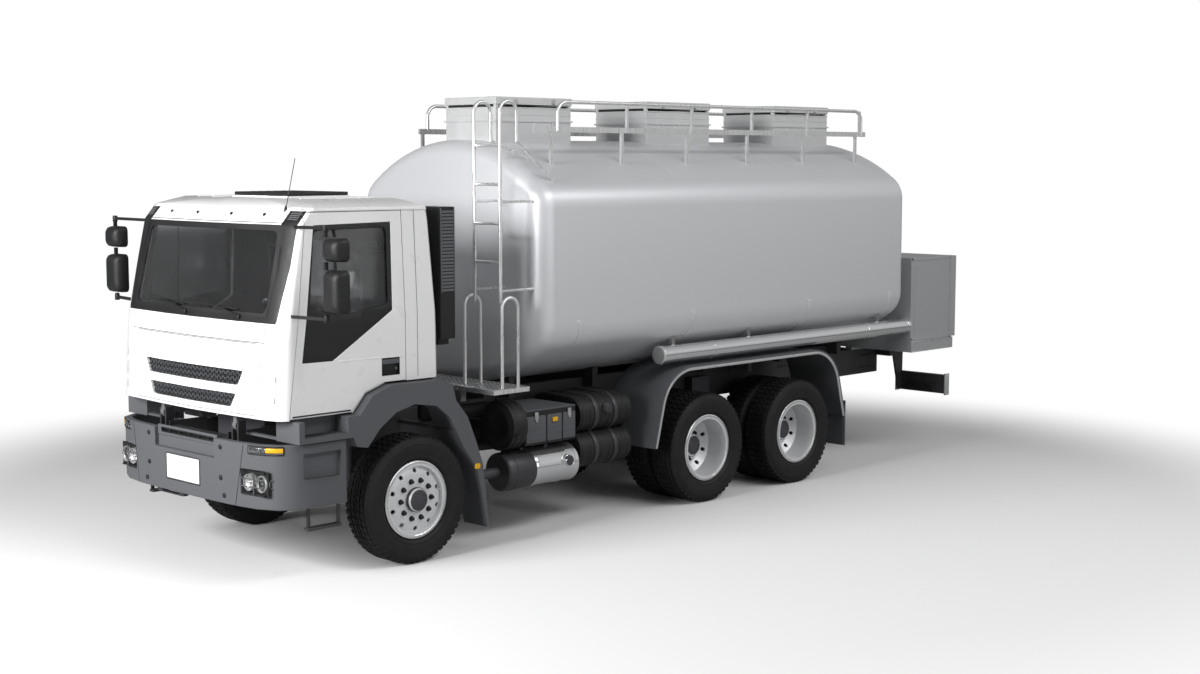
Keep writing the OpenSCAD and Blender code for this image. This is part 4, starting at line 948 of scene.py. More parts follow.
@dataclass
class Tank:
    """The oval tank with its straps, seams, outlet pipes and tubes along its sides."""

    bottom: float = 1.240
    top: float = 3.430
    half: float = 1.250
    crown: float = 1.930
    corner: float = 0.280
    begin: float = 1.520
    end: float = 6.610
    knuckle: float = 0.150
    dish: float = 0.080

    def outline(self, inset: float = 0.0) -> list[tuple[float, float]]:
        """The tank's section as (x, z) points, moved inwards by inset."""
        cx = self.half - self.corner
        rise = math.sqrt((self.crown - self.corner) ** 2 - cx ** 2)
        high, low = self.top - self.crown + rise, self.bottom + self.crown - rise
        tilt = math.degrees(math.atan2(rise, cx))
        r, big = self.corner - inset, self.crown - inset
        return (half_round(r, 10, -tilt, 0, (cx, low)) + half_round(r, 10, 0, tilt, (cx, high))
                + half_round(big, 28, tilt, 180 - tilt, (0, self.top - self.crown))[1:-1]
                + half_round(r, 10, 180 - tilt, 180, (-cx, high)) + half_round(r, 10, 180, 180 + tilt,
                                                                               (-cx, low))
                + half_round(big, 28, 180 + tilt, 360 - tilt, (0, self.bottom + self.crown))[1:-1])

    def head(self, side: int) -> list[list[Point]]:
        """Rings of one dished end, from the shell outwards."""
        base = self.begin if side < 0 else self.end
        middle = (self.bottom + self.top) / 2
        rings = []
        for a in range(0, 91, 9):
            out = self.knuckle * math.sin(math.radians(a))
            inset = self.knuckle * (1 - math.cos(math.radians(a)))
            rings.append([(x, base + side * out, z) for x, z in self.outline(inset)])
        for k in range(1, 20):
            s = 1 - k / 20
            out = self.knuckle + self.dish * (1 - s * s)
            rings.append([(x * s, base + side * out, middle + (z - middle) * s)
                          for x, z in self.outline(self.knuckle)])
        return rings

    def build(self) -> None:
        """Makes the shell and everything fastened to it."""
        rings = self.head(-1)[::-1] + self.head(1)
        Shape().loft(rings).done("tank_shell", TANK_SILVER, "chassis", "tank_silver", replaces=["tank"],
                                 sharp=60)
        self.seams()
        self.straps()
        self.pipes()
        refined("hose_tubes", BRIGHT_STEEL, 0.002, sharp=30)
        self.tube_ends()

    def band(self, low: float, high: float, lift: float, part: slice | None = None) -> Shape:
        """A thin band round the shell between two places along it."""
        outer, inner = self.outline(-lift), self.outline(0.001)
        if part is None:
            rings = [[(x, y, z) for x, z in line] for y, line in
                     ((low, inner), (low, outer), (high, outer), (high, inner))]
            return Shape().loft(rings, caps=False)
        outline = outer[part] + inner[part][::-1]
        return Shape().prism([(x, z) for x, z in outline], "Y", low, high)

    def seams(self) -> None:
        """Flat weld seams where the shell's sheets meet, and the ring where each head is joined."""
        seams = Shape()
        for place in (self.begin + 0.004, self.begin + 1.72, self.begin + 3.42, self.end - 0.004):
            outer = self.band(place - 0.003, place + 0.003, 0.0009)
            data = bpy.data.meshes.new("seam")
            outer.bm.to_mesh(data)
            outer.bm.free()
            seams.mesh(data, Matrix.Identity(4))
        seams.done("tank_weld_seams", TANK_SILVER, "chassis", "tank_silver", sharp=30)

    def straps(self) -> None:
        """Hold-down straps low on both sides, each with a hooked foot."""
        feet = Shape()
        for place in (1.83, 3.32, 5.08, 6.47):
            half = self.outline(-0.006)
            low = [p for p in half if p[0] > 0.95 and 1.28 < p[1] < 1.86]
            low.sort(key=lambda p: p[1])
            inner = [p for p in self.outline(0.001) if p[0] > 0.95 and 1.28 < p[1] < 1.86]
            inner.sort(key=lambda p: p[1])
            outline = low + inner[::-1]
            feet.prism(outline, "Y", place - 0.020, place + 0.020)
            x, z = low[-1]
            feet.prism([(x - 0.012, z - 0.006), (x - 0.001, z - 0.006), (x - 0.001, z + 0.020),
                        (x - 0.012, z + 0.020)],
                       "Y", place - 0.045, place + 0.020)
        feet.mirrored().done("tank_straps", TANK_SILVER, "chassis", "tank_silver", 0.0015, sharp=35)

    def pipes(self) -> None:
        """Outlet pipes that run into the rear cabinet, with flanges and caps."""
        shape, rear = Shape(), 6.890
        for x in (-0.5, 0.0, 0.5):
            profile = [(self.end - 0.05, 0.0), (self.end - 0.05, 0.05), (rear + 0.178, 0.05),
                       (rear + 0.178, 0.083),
                       (rear + 0.182, 0.085), (rear + 0.226, 0.085), (rear + 0.230, 0.083),
                       (rear + 0.230, 0.052),
                       (rear + 0.240, 0.052), (rear + 0.240, 0.070), (rear + 0.292, 0.072),
                       (rear + 0.300, 0.066),
                       (rear + 0.300, 0.0)]
            shape.lathe(profile, (x, 0, 1.48), "Y", 48)
        shape.done("outlet_pipes", BRIGHT_STEEL, "chassis", "tank_silver", sharp=35)

    def tube_ends(self) -> None:
        """Caps and clamp bolts of the long tubes under the tank's sides."""
        caps, x = Shape(), self.half - 0.088
        for place, out in ((2.94, -1), (6.88, 1)):
            profile = [(0.0, 0.0), (0.0, 0.0835), (0.002 * out, 0.0838), (0.012 * out, 0.0835),
                       (0.018 * out, 0.078), (0.020 * out, 0.060), (0.0185 * out, 0.030), (0.019 * out, 0.0)]
            if out > 0:
                profile = [(a * 0.45, r) for a, r in profile]
            caps.lathe([(place + a, r) for a, r in profile], (x, 0, 1.455), "Y", 48)
        for place in (2.94, 3.64, 6.12, 6.84):
            caps.box((x - 0.012, place + 0.006, 1.368), (x + 0.012, place + 0.034, 1.376), 0.002)
        caps.mirrored().done("tube_caps", RAIL_STEEL, "chassis", "bright_steel", sharp=35)


@dataclass
class TankTop:
    """Filling boxes with their lids, the walkway boards, handrails and the ladder."""

    begin: float = 1.665
    length: float = 0.935
    pitch: float = 1.960
    half: float = 0.340
    rim: float = 3.722
    lid_low: float = 3.7443
    lid_high: float = 3.8143

    def build(self) -> None:
        """Makes everything on top of the tank."""
        refined("fill_boxes", BOX_SILVER, 0.003)
        self.bands()
        for i in range(3):
            self.lid(i)
        refined("handrails", RAIL_STEEL, 0.0025, sharp=30)
        refined("ladder", RAIL_STEEL, 0.0, sharp=30)
        self.steps()

    def bands(self) -> None:
        """Pressed bands and the shaded gap under each box's rim."""
        bright, dark = Shape(), Shape()
        for i in range(3):
            y0, y1 = self.begin + i * self.pitch, self.begin + i * self.pitch + self.length
            h = self.half
            for z0, z1, out in ((3.598, 3.604, 0.0165), (3.650, 3.658, 0.004), (3.712, 3.7215, 0.006)):
                for box in (((-h - out, y0 - out, z0), (h + out, y0 + 0.002, z1)),
                            ((-h - out, y1 - 0.002, z0), (h + out, y1 + out, z1)),
                            ((-h - out, y0, z0), (-h + 0.002, y1, z1)),
                            ((h - 0.002, y0, z0), (h + out, y1, z1))):
                    bright.box(*box, 0.0012, 1)
            for k in range(1, 4):
                y = y0 + self.length * k / 4
                for s in (-1, 1):
                    bright.box((s * h - 0.006, y - 0.011, 3.500), (s * h + 0.006, y + 0.011, 3.590), 0.002, 1)
            # Dark rubber strips in the gap under each lid's front and back edge: painted shade in that gap.
            dark.box((-h + 0.010, y0 + 0.010, self.rim + 0.001),
                     (h - 0.010, y0 + 0.016, self.lid_low - 0.002))
            dark.box((-h + 0.010, y1 - 0.016, self.rim + 0.001),
                     (h - 0.010, y1 - 0.010, self.lid_low - 0.002))
        bright.done("box_bands", BOX_SILVER, "chassis", "box_grey", sharp=30)
        dark.done("box_seals", SEAL_RUBBER, "chassis", "box_grey")

    def lid(self, i: int) -> None:
        """One lid with pressed ribs and two clasps on its left."""
        body, name = f"lid_{i + 1}", f"fill_lid_{i + 1}"
        y0 = self.begin + i * self.pitch
        h, y1 = self.half + 0.010, y0 + self.length
        lid = Shape().box((-h, y0 - 0.010, self.lid_low), (h, y1 + 0.010, self.lid_high - 0.002))
        lid.cut(Shape().box((-h + 0.050, y0 + 0.040, self.lid_low - 0.01),
                            (h - 0.050, y1 - 0.040, self.lid_high - 0.015)))
        lid.done(f"{name}_body", BOX_SILVER, body, "box_grey", 0.006, [name], segments=3, even=True)
        trims = Shape()
        for k in (0.22, 0.5, 0.78):
            y = y0 + self.length * k
            trims.box((-self.half + 0.05, y - 0.030, self.lid_high - 0.004),
                      (self.half - 0.05, y + 0.030, self.lid_high - 0.0002), 0.001, 1)
        trims.box((-self.half - 0.0105, y0 - 0.0105, self.lid_low + 0.030),
                  (self.half + 0.0105, y0 + self.length + 0.0105, self.lid_low + 0.034))
        trims.done(f"lid_{i + 1}_ribs", BOX_SILVER, body, "box_grey", sharp=30)
        clasps = Shape()
        for k in (0.25, 0.75):
            y = y0 + self.length * k
            clasps.box((self.half + 0.009, y - 0.020, self.lid_low + 0.004),
                       (self.half + 0.0155, y + 0.020, self.lid_low + 0.056), 0.002)
            clasps.tube([(self.half + 0.018, y - 0.014, self.lid_low + 0.016),
                         (self.half + 0.018, y + 0.014, self.lid_low + 0.016)], 0.004, 10)
        clasps.done(f"lid_{i + 1}_clasps", ZINC, body, "box_grey", sharp=30)

    def steps(self) -> None:
        """Grip sleeves on the rungs, and the walkway boards' raised treads."""
        grips = Shape()
        for z in (2.390, 2.715, 3.045, 3.370):
            for k in range(9):
                x = 0.835 + k * 0.032
                grips.lathe([(x - 0.004, 0.011), (x - 0.004, 0.0135), (x + 0.004, 0.0135), (x + 0.004, 0.011),
                             (x - 0.004, 0.011)], (0, 1.0, z), "X", 16)
        grips.done("rung_grips", RAIL_STEEL, "chassis", "bright_steel", sharp=30)
        part = Shape().box((-0.018, -0.004, -0.001), (0.018, 0.004, 0.0025), 0.001, 1)
        row = Repeat(Layout.ROW, 40, 2.36).made(part, CHASSIS_BLACK)
        deck = Shape()
        for k in range(6):
            shift = 0.03 if k % 2 else 0.0
            deck.mesh(row, Matrix.Translation((-1.18 + shift, 0.87 + 0.065 * k, 1.330)))
        deck.done("platform_treads", CHASSIS_BLACK, "chassis", "chassis_black", sharp=30)


# ---- cab ----

class View(Enum):
    """The direction in which an outline is laid on the cab's skin."""

    FRONT = "front"
    LEFT = "left"
    TOP = "top"


class Skin:
    """The cab's smooth outer form, with its openings closed, to lay plates and trims on."""

    def __init__(self) -> None:
        hull = bmesh.new()
        for vert in frame["nodes"]["cab_shell"].data.vertices:
            if 1.284 < vert.co.z < 2.9495:
                hull.verts.new((vert.co.x, vert.co.y - AXLE_Y, vert.co.z))
        bmesh.ops.remove_doubles(hull, verts=hull.verts, dist=1e-5)
        made = bmesh.ops.convex_hull(hull, input=hull.verts[:])
        spare = {v for v in made["geom_interior"] if isinstance(v, bmesh.types.BMVert)}
        bmesh.ops.delete(hull, geom=list(spare), context="VERTS")
        bmesh.ops.recalc_face_normals(hull, faces=hull.faces[:])
        self.tree = BVHTree.FromBMesh(hull)
        hull.free()

    def _ray(self, view: View, u: float, v: float) -> tuple[Vector, Vector]:
        """Where a line of sight meets the skin, and the skin's normal there."""
        start, way = {View.FRONT: (Vector((u, -3, v)), Vector((0, 1, 0))),
                      View.LEFT: (Vector((3, u, v)), Vector((-1, 0, 0))),
                      View.TOP: (Vector((u, v, 5)), Vector((0, 0, -1)))}[view]
        place, normal, _, _ = self.tree.ray_cast(start, way)
        if place is None:
            place, normal, _, _ = self.tree.find_nearest(start + way * 1.9)
        return place, normal

    def point(self, view: View, u: float, v: float, lift: float = 0.0) -> Vector:
        """A point on the skin, lifted off it along its evened normal."""
        place, normal = self._ray(view, u, v)
        even = normal.copy()
        for du, dv in ((0.012, 0), (-0.012, 0), (0, 0.012), (0, -0.012)):
            even += self._ray(view, u + du, v + dv)[1]
        return place + even.normalized() * lift

    def depth(self, point: Vector) -> float:
        """How far a point lies from the skin."""
        return self.tree.find_nearest(point)[3]

    def plate(self, shape: Shape, outline: Sequence[Point], view: View, lift: float, thick: float,
              step: float = 0.05, hole: Sequence[Point] = ()) -> Shape:
        """Adds a plate that follows the skin.

        Args:
            shape: What the plate is added to.
            outline: Its outline as the view sees it.
            view: The view.
            lift: Height of its outer face over the skin.
            thick: Its thickness.
            step: Distance between the points that follow the skin.
            hole: An inner outline with as many points as the outer one.
        """
        flat = bmesh.new()
        outer = [flat.verts.new((u, v, 0)) for u, v in outline]
        if hole:
            inner = [flat.verts.new((u, v, 0)) for u, v in hole]
            for i in range(len(outer)):
                j = (i + 1) % len(outer)
                flat.faces.new((outer[i], outer[j], inner[j], inner[i]))
        else:
            bmesh.ops.triangulate(flat, faces=[flat.faces.new(outer)])
        for axis in (0, 1):
            places = [p[axis] for p in outline]
            cut = math.ceil(min(places) / step) * step
            while cut < max(places):
                point, normal = [0.0, 0.0, 0.0], [0.0, 0.0, 0.0]
                point[axis], normal[axis] = cut, 1.0
                bmesh.ops.bisect_plane(flat, geom=flat.verts[:] + flat.edges[:] + flat.faces[:],
                                       dist=1e-5, plane_co=point, plane_no=normal)
                cut += step
        flat.verts.index_update()
        top = [shape.bm.verts.new(self.point(view, v.co.x, v.co.y, lift)) for v in flat.verts]
        low = [shape.bm.verts.new(self.point(view, v.co.x, v.co.y, lift - thick)) for v in flat.verts]
        faces = []
        for face in flat.faces:
            ring = [v.index for v in face.verts]
            faces.append(shape.bm.faces.new([top[i] for i in ring]))
            faces.append(shape.bm.faces.new([low[i] for i in reversed(ring)]))
        for edge in flat.edges:
            if edge.is_boundary:
                a, b = (v.index for v in edge.verts)
                faces.append(shape.bm.faces.new((top[a], top[b], low[b], low[a])))
        bmesh.ops.recalc_face_normals(shape.bm, faces=faces)
        flat.free()
        return shape

    def strip(self, shape: Shape, line: Sequence[Point], view: View, width: float, lift: float = 0.0006,
              thick: float = 0.003, step: float = 0.03) -> Shape:
        """Adds a narrow strip along a line on the skin, such as a panel seam."""
        points: list[Vector] = []
        for a, b in zip(line, line[1:]):
            start, end = Vector((*a, 0)), Vector((*b, 0))
            count = max(1, int((end - start).length / step))
            points += [start.lerp(end, k / count) for k in range(count)]
        points.append(Vector((*line[-1], 0)))
        rings = []
        for i, p in enumerate(points):
            ahead = (points[min(i + 1, len(points) - 1)] - points[max(i - 1, 0)]).normalized()
            side = Vector((-ahead.y, ahead.x, 0)) * width / 2
            a, b = p + side, p - side
            rings.append([self.point(view, a.x, a.y, lift), self.point(view, b.x, b.y, lift),
                          self.point(view, b.x, b.y, lift - thick), self.point(view, a.x, a.y, lift - thick)])
        return shape.loft(rings)


def both(outline: Sequence[Point]) -> list[tuple[float, float]]:
    """A closed outline from its right half, mirrored about the first coordinate's zero."""
    return [(u, v) for u, v in outline] + [(-u, v) for u, v in reversed(outline) if u > 1e-6]


@dataclass
class Cab:
    """The cab's body: skin, windscreen, trims, visor, wipers, hatch, mirrors and inside."""

    skin: Skin

    def build(self) -> None:
        """Makes the whole cab but for its doors and its grille flap."""
        self.shell()
        self.glazing()
        self.trims()
        self.seams()
        self.visor()
        self.wipers()
        self.roof()
        self.mirrors()
        self.inside()

    def shell(self) -> None:
        """White outside, dark inside."""

        def outside(face: Vector) -> bool:
            lug = face.z < 1.2845 and face.y < -1.1
            return not lug and (self.skin.depth(face) < 0.047 or face.z > 2.93 or face.z < 1.30)

        refined("cab_shell", WHITE_PAINT, 0.005, "cab_skin", keep=outside)
        refined("cab_shell", DASH_PLASTIC, 0.0, "cab_lining", keep=lambda f: not outside(f), whole=False)

    def glazing(self) -> None:
        """Windscreen that follows the cab's bow, its black border, and the rear window."""
        pane = [(0.985, 2.050), (0.990, 2.40), (0.975, 2.735)]
        glass = self.skin.plate(Shape(), both(pane), View.FRONT, -0.003, 0.006)
        glass.box((-0.519, 0.206, 2.081), (0.519, 0.212, 2.559), 0.001, 1)
        glass.done("cab_windows", SCREEN_GLASS, "cab", "glass", replaces=["cab_glass"], sharp=50)
        outer = rounded(both([(0.998, 2.038), (0.998, 2.758)]), 0.03, 5)
        inner = rounded(both([(0.925, 2.088), (0.905, 2.712)]), 0.07, 5)
        border = self.skin.plate(Shape(), outer, View.FRONT, 0.0015, 0.0035, 0.06, inner)
        border.done("windscreen_border", SEAL_RUBBER, "cab", "glass", sharp=50)
        seal = Shape().tube([(x, 0.232, z) for x,
                             z in rounded(rectangle(-0.525, 2.075, 0.525, 2.565), 0.05, 5)],
                            0.010, 10, True)
        seal.done("rear_window_seal", SEAL_RUBBER, "cab", "dash_plastic")

    def trims(self) -> None:
        """Cowl under the windscreen, pillar trims beside it and corner deflectors below."""
        dark = Shape()
        self.skin.plate(dark, rounded(both([(1.045, 2.016), (1.040, 2.062)]), 0.01, 3), View.FRONT, 0.004,
                        0.008)
        for s in (1, -1):
            pillar = [(0.930, 2.050), (1.050, 2.030), (1.088, 2.45), (1.086, 2.868), (1.045, 2.882),
                      (0.930, 2.868), (0.930, 2.76), (0.955, 2.74), (0.965, 2.40)]
            self.skin.plate(dark, [(s * u, v) for u, v in (pillar if s > 0 else pillar[::-1])], View.FRONT,
                            0.003, 0.007, 0.04)
        dark.done("windscreen_trims", BLACK_PLASTIC, "cab", "bumper_plastic", 0.001, sharp=45)
        vents = Shape()
        for s in (1, -1):
            for k in range(5):
                z = 2.800 + k * 0.014
                line = [(s * 0.962, z), (s * 1.062, z - 0.003)]
                self.skin.strip(vents, line, View.FRONT, 0.007, 0.0055, 0.006)
        vents.done("pillar_vents", DASH_PLASTIC, "cab", "bumper_plastic", sharp=45)
        self.deflectors()

    def deflectors(self) -> None:
        """Corner panels with their shaded groove and two small vents on each side."""
        grooves, lips = Shape(), Shape()
        for s in (1, -1):
            order = 1 if s > 0 else -1
            groove = rounded([(0.985, 1.360), (1.062, 1.352), (1.084, 1.50), (1.080, 1.690), (1.010, 1.700)],
                             0.02, 4)
            self.skin.plate(grooves, [(s * u, v) for u, v in groove[::order]], View.FRONT, 0.0012, 0.004,
                            0.02)
            for z in (1.425, 1.585):
                fin = rounded([(0.990, z), (1.068, z - 0.006), (1.068, z + 0.036), (0.990, z + 0.040)], 0.008,
                              3)
                self.skin.plate(lips, [(s * u, v) for u, v in fin[::order]], View.FRONT, 0.009, 0.009, 0.02)
        grooves.done("deflector_grooves", GROOVE_SHADE, "cab", "white_paint", sharp=45)
        lips.done("deflector_fins", WHITE_PAINT, "cab", "white_paint", 0.0015, sharp=45)

    def seams(self) -> None:
        """Panel seams, the gutter over each door and the belt crease behind it."""
        dark = Shape()
        for s in (1, -1):
            line = [(s * 0.935, 2.012), (s * 0.938, 1.865)]
            self.skin.strip(dark, line, View.FRONT, 0.006, 0.0007)
            lower = [(s * 0.938, 1.865), (s * 0.900, 1.62), (s * 0.862, 1.32)]
            self.skin.strip(dark, lower, View.FRONT, 0.006, 0.0007)
        self.skin.strip(dark, [(-0.935, 1.868), (0.935, 1.868)], View.FRONT, 0.007, 0.0007)
        self.skin.strip(dark, [(-0.990, 2.772), (0.990, 2.772)], View.FRONT, 0.006, 0.0007)
        rear = Shape()
        self.skin.strip(rear, [(0.075, 1.52), (0.075, 2.86)], View.LEFT, 0.005, 0.0007)
        data = bpy.data.meshes.new("seams")
        rear.mirrored().bm.to_mesh(data)
        rear.bm.free()
        dark.mesh(data, Matrix.Identity(4))
        dark.done("cab_seams", SEAM_SHADE, "cab", "white_paint", sharp=45)
        gutter = Shape()
        self.skin.strip(gutter, [(-1.02, 2.868), (0.20, 2.862)], View.LEFT, 0.016, 0.010, 0.012)
        gutter.mirrored().done("roof_gutters", WHITE_PAINT, "cab", "white_paint", 0.002, sharp=45)

    def visor(self) -> None:
        """The panel over the windscreen with its four dark bolts."""
        panel = rounded(both([(0.915, 2.782), (0.905, 2.872)]), 0.02, 4)
        self.skin.plate(Shape(), panel, View.FRONT, 0.006, 0.009).done(
            "visor_panel", WHITE_PAINT, "cab", "white_paint", 0.0015, sharp=40)
        bolts_shape = Shape()
        for x in (-0.66, -0.24, 0.24, 0.66):
            place, normal = self.skin.point(View.FRONT, x, 2.826, 0.006), Vector((0, -0.8, 0.6))
            head = bolt(0.010, 0.010)
            data = bpy.data.meshes.new("head")
            head.bm.to_mesh(data)
            head.bm.free()
            turn = normal.normalized().to_track_quat("Z", "Y").to_matrix().to_4x4()
            bolts_shape.mesh(data, Matrix.Translation(place) @ turn)
        bolts_shape.done("visor_bolts", DARK_BOLT, "cab", "bumper_plastic", sharp=30)

    def wipers(self) -> None:
        """Two wiper arms with their blades, parked low on the windscreen."""
        arms, blades = Shape(), Shape()
        for x0, x1 in ((-0.10, -0.70), (0.62, 0.02)):
            low = self.skin.point(View.FRONT, x0, 2.055, 0.022)
            mid = self.skin.point(View.FRONT, (x0 + x1) / 2, 2.120, 0.034)
            high = self.skin.point(View.FRONT, x1 + 0.12, 2.118, 0.022)
            arms.tube(bezier([low, mid, high], 8, 0.10), 0.0075, 10)
            base = self.skin.point(View.FRONT, x0, 2.050, 0.0)
            arms.lathe([(base.y + 0.004, 0.0), (base.y + 0.004, 0.019), (base.y - 0.022, 0.017),
                        (base.y - 0.026, 0.012), (base.y - 0.026, 0.0)], (base.x, 0, base.z), "Y", 20)
            count = 12
            line = [self.skin.point(View.FRONT, x0 - 0.04 + (x1 - x0 + 0.02) * k / count,
                                    2.104 + 0.020 * k / count,
                                    0.011) for k in range(count + 1)]
            blades.tube(line, 0.0045, 8)
            blades.tube([p + Vector((0, 0.006, 0)) for p in line], 0.0022, 6)
        arms.done("wiper_arms", BLACK_PLASTIC, "cab", "bumper_plastic", sharp=40)
        blades.done("wiper_blades", SEAL_RUBBER, "cab", "bumper_plastic", sharp=40)

    def roof(self) -> None:
        """Roof hatch with its bent rim, grip ribs and aerial, and the roof's long beads."""
        refined("roof_hatch", BLACK_PLASTIC, 0.008)
        ribs = Shape()
        for k in range(6):
            y = -0.50 + k * 0.076
            ribs.box((-0.30, y, 2.986), (0.30, y + 0.020, 2.9925), 0.002, 1)
        ribs.done("hatch_ribs", BLACK_PLASTIC, "hatch", "bumper_plastic", sharp=30)
        beads = Shape()
        for s in (1, -1):
            for x in (0.50, 0.72):
                line = [(s * x, -0.74 + 0.06 * k) for k in range(13)]
                points = [self.skin.point(View.TOP, u, v, -0.002) for u, v in line]
                beads.tube(points, 0.010, 10)
        beads.done("roof_beads", WHITE_PAINT, "cab", "white_paint", sharp=60)
        foot = self.skin.point(View.FRONT, 0.87, 2.862, 0.0)
        whip = [foot, foot + Vector((0.0, 0.010, 0.05)), foot + Vector((0.012, 0.085, 0.40))]
        aerial = Shape().tube(whip, 0.0032, 8).lathe(
            [(foot.z - 0.010, 0.0), (foot.z - 0.010, 0.016), (foot.z + 0.014, 0.013), (foot.z + 0.040, 0.006),
             (foot.z + 0.042, 0.0)], (foot.x, foot.y, 0), "Z", 16)
        aerial.done("aerial", BLACK_PLASTIC, "cab", "bumper_plastic", sharp=40)

    def mirrors(self) -> None:
        """Rounded mirror housings on their arms, with glasses that look rearwards."""

        def arms(face: Vector) -> bool:
            inside = 1.449 < abs(face.x) < 1.673 and -1.106 < face.y < -0.984
            return not (inside and (2.109 < face.z < 2.441 or 2.499 < face.z < 2.681))

        refined("mirrors", BLACK_PLASTIC, 0.004, "mirror_arms", keep=arms)
        housings, glasses = Shape(), Shape()
        for low, high in ((2.110, 2.440), (2.500, 2.680)):
            rings = []
            for y, share in ((-1.105, 0.58), (-1.101, 0.70), (-1.090, 0.84), (-1.070, 0.94), (-1.040, 0.99),
                             (-1.000, 1.0), (-0.990, 1.0), (-0.985, 0.985), (-0.985, 0.93), (-0.993, 0.92)):
                cx, cz, hw, hh = 1.561, (low + high) / 2, 0.111, (high - low) / 2
                inset = (1 - share) * 0.16
                outline = rounded(rectangle(cx - hw + inset, cz - hh + inset, cx + hw - inset,
                                            cz + hh - inset),
                                  0.045, 6)
                rings.append([(x, y, z) for x, z in outline])
            housings.loft(rings)
            glasses.prism(rounded(rectangle(1.466, low + 0.016, 1.656, high - 0.016), 0.035, 6), "Y", -0.9935,
                          -0.9905)
        for z in (2.075, 2.748):
            housings.lathe([(z - 0.026, 0.0), (z - 0.026, 0.018), (z - 0.020, 0.021), (z + 0.020, 0.021),
                            (z + 0.026, 0.018), (z + 0.026, 0.0)], (1.500, -1.075, 0), "Z", 20)
        housings.mirrored().done("mirror_housings", BLACK_PLASTIC, "cab", "mirror_plastic", sharp=45)
        glasses.mirrored().done("mirror_glasses", MIRROR_GLASS, "cab", "glass")

    def inside(self) -> None:
        """Dashboard, instruments, steering wheel and seats."""
        refined("dashboard", DASH_PLASTIC, 0.008)
        panel = Shape()
        for x in (0.50, 0.70):
            panel.lathe([(-0.940, 0.0), (-0.940, 0.062), (-0.920, 0.066), (-0.914, 0.060), (-0.926, 0.054),
                         (-0.926, 0.0)], (x, 0, 1.925), "Y", 40)
        for k in range(6):
            panel.box((-0.20 + k * 0.055, -0.936, 1.90), (-0.155 + k * 0.055, -0.924, 1.945), 0.003, 1)
        for x in (-0.90, -0.35, 0.30, 0.92):
            for k in range(4):
                panel.box((x - 0.060, -0.935, 1.955 + 0.012 * k), (x + 0.060, -0.922, 1.960 + 0.012 * k),
                          0.001, 1)
        panel.done("dash_instruments", BLACK_PLASTIC, "cab", "dash_plastic", sharp=35)
        self.steering_wheel()
        Seats().build()

    def steering_wheel(self) -> None:
        """A round rim with four spokes and a padded hub."""
        centre = Vector((0.600, -0.770, 2.060))
        rim = [(0.215 * math.cos(2 * math.pi * k / 64), 0.215 * math.sin(2 * math.pi * k / 64),
                0) for k in range(64)]
        wheel = Shape().tube(rim, 0.0148, 16, True)
        wheel.lathe([(-0.030, 0.0), (-0.030, 0.060), (-0.010, 0.070), (0.004, 0.070), (0.010, 0.060),
                     (0.010, 0.0)], (0, 0, 0), "Z", 40)
        for k in range(4):
            a = math.radians(45 + 90 * k)
            across = Vector((-math.sin(a), math.cos(a), 0))
            rings = []
            for r, w, z in ((0.050, 0.020, -0.006), (0.120, 0.015, -0.005), (0.206, 0.013, -0.002)):
                c = Vector((r * math.cos(a), r * math.sin(a), z))
                rings.append([c + across * w, c + Vector((0, 0, 0.005)), c - across * w,
                              c - Vector((0, 0, 0.007))])
            wheel.loft(rings)
        tilt = Matrix.Rotation(math.radians(-28), 4, "X")
        bmesh.ops.transform(wheel.bm, matrix=Matrix.Translation(centre) @ tilt, verts=wheel.bm.verts[:])
        wheel.done("hand_wheel_rim", DASH_PLASTIC, "hand_wheel", "dash_plastic", replaces=["steering_wheel"],
                   sharp=45)


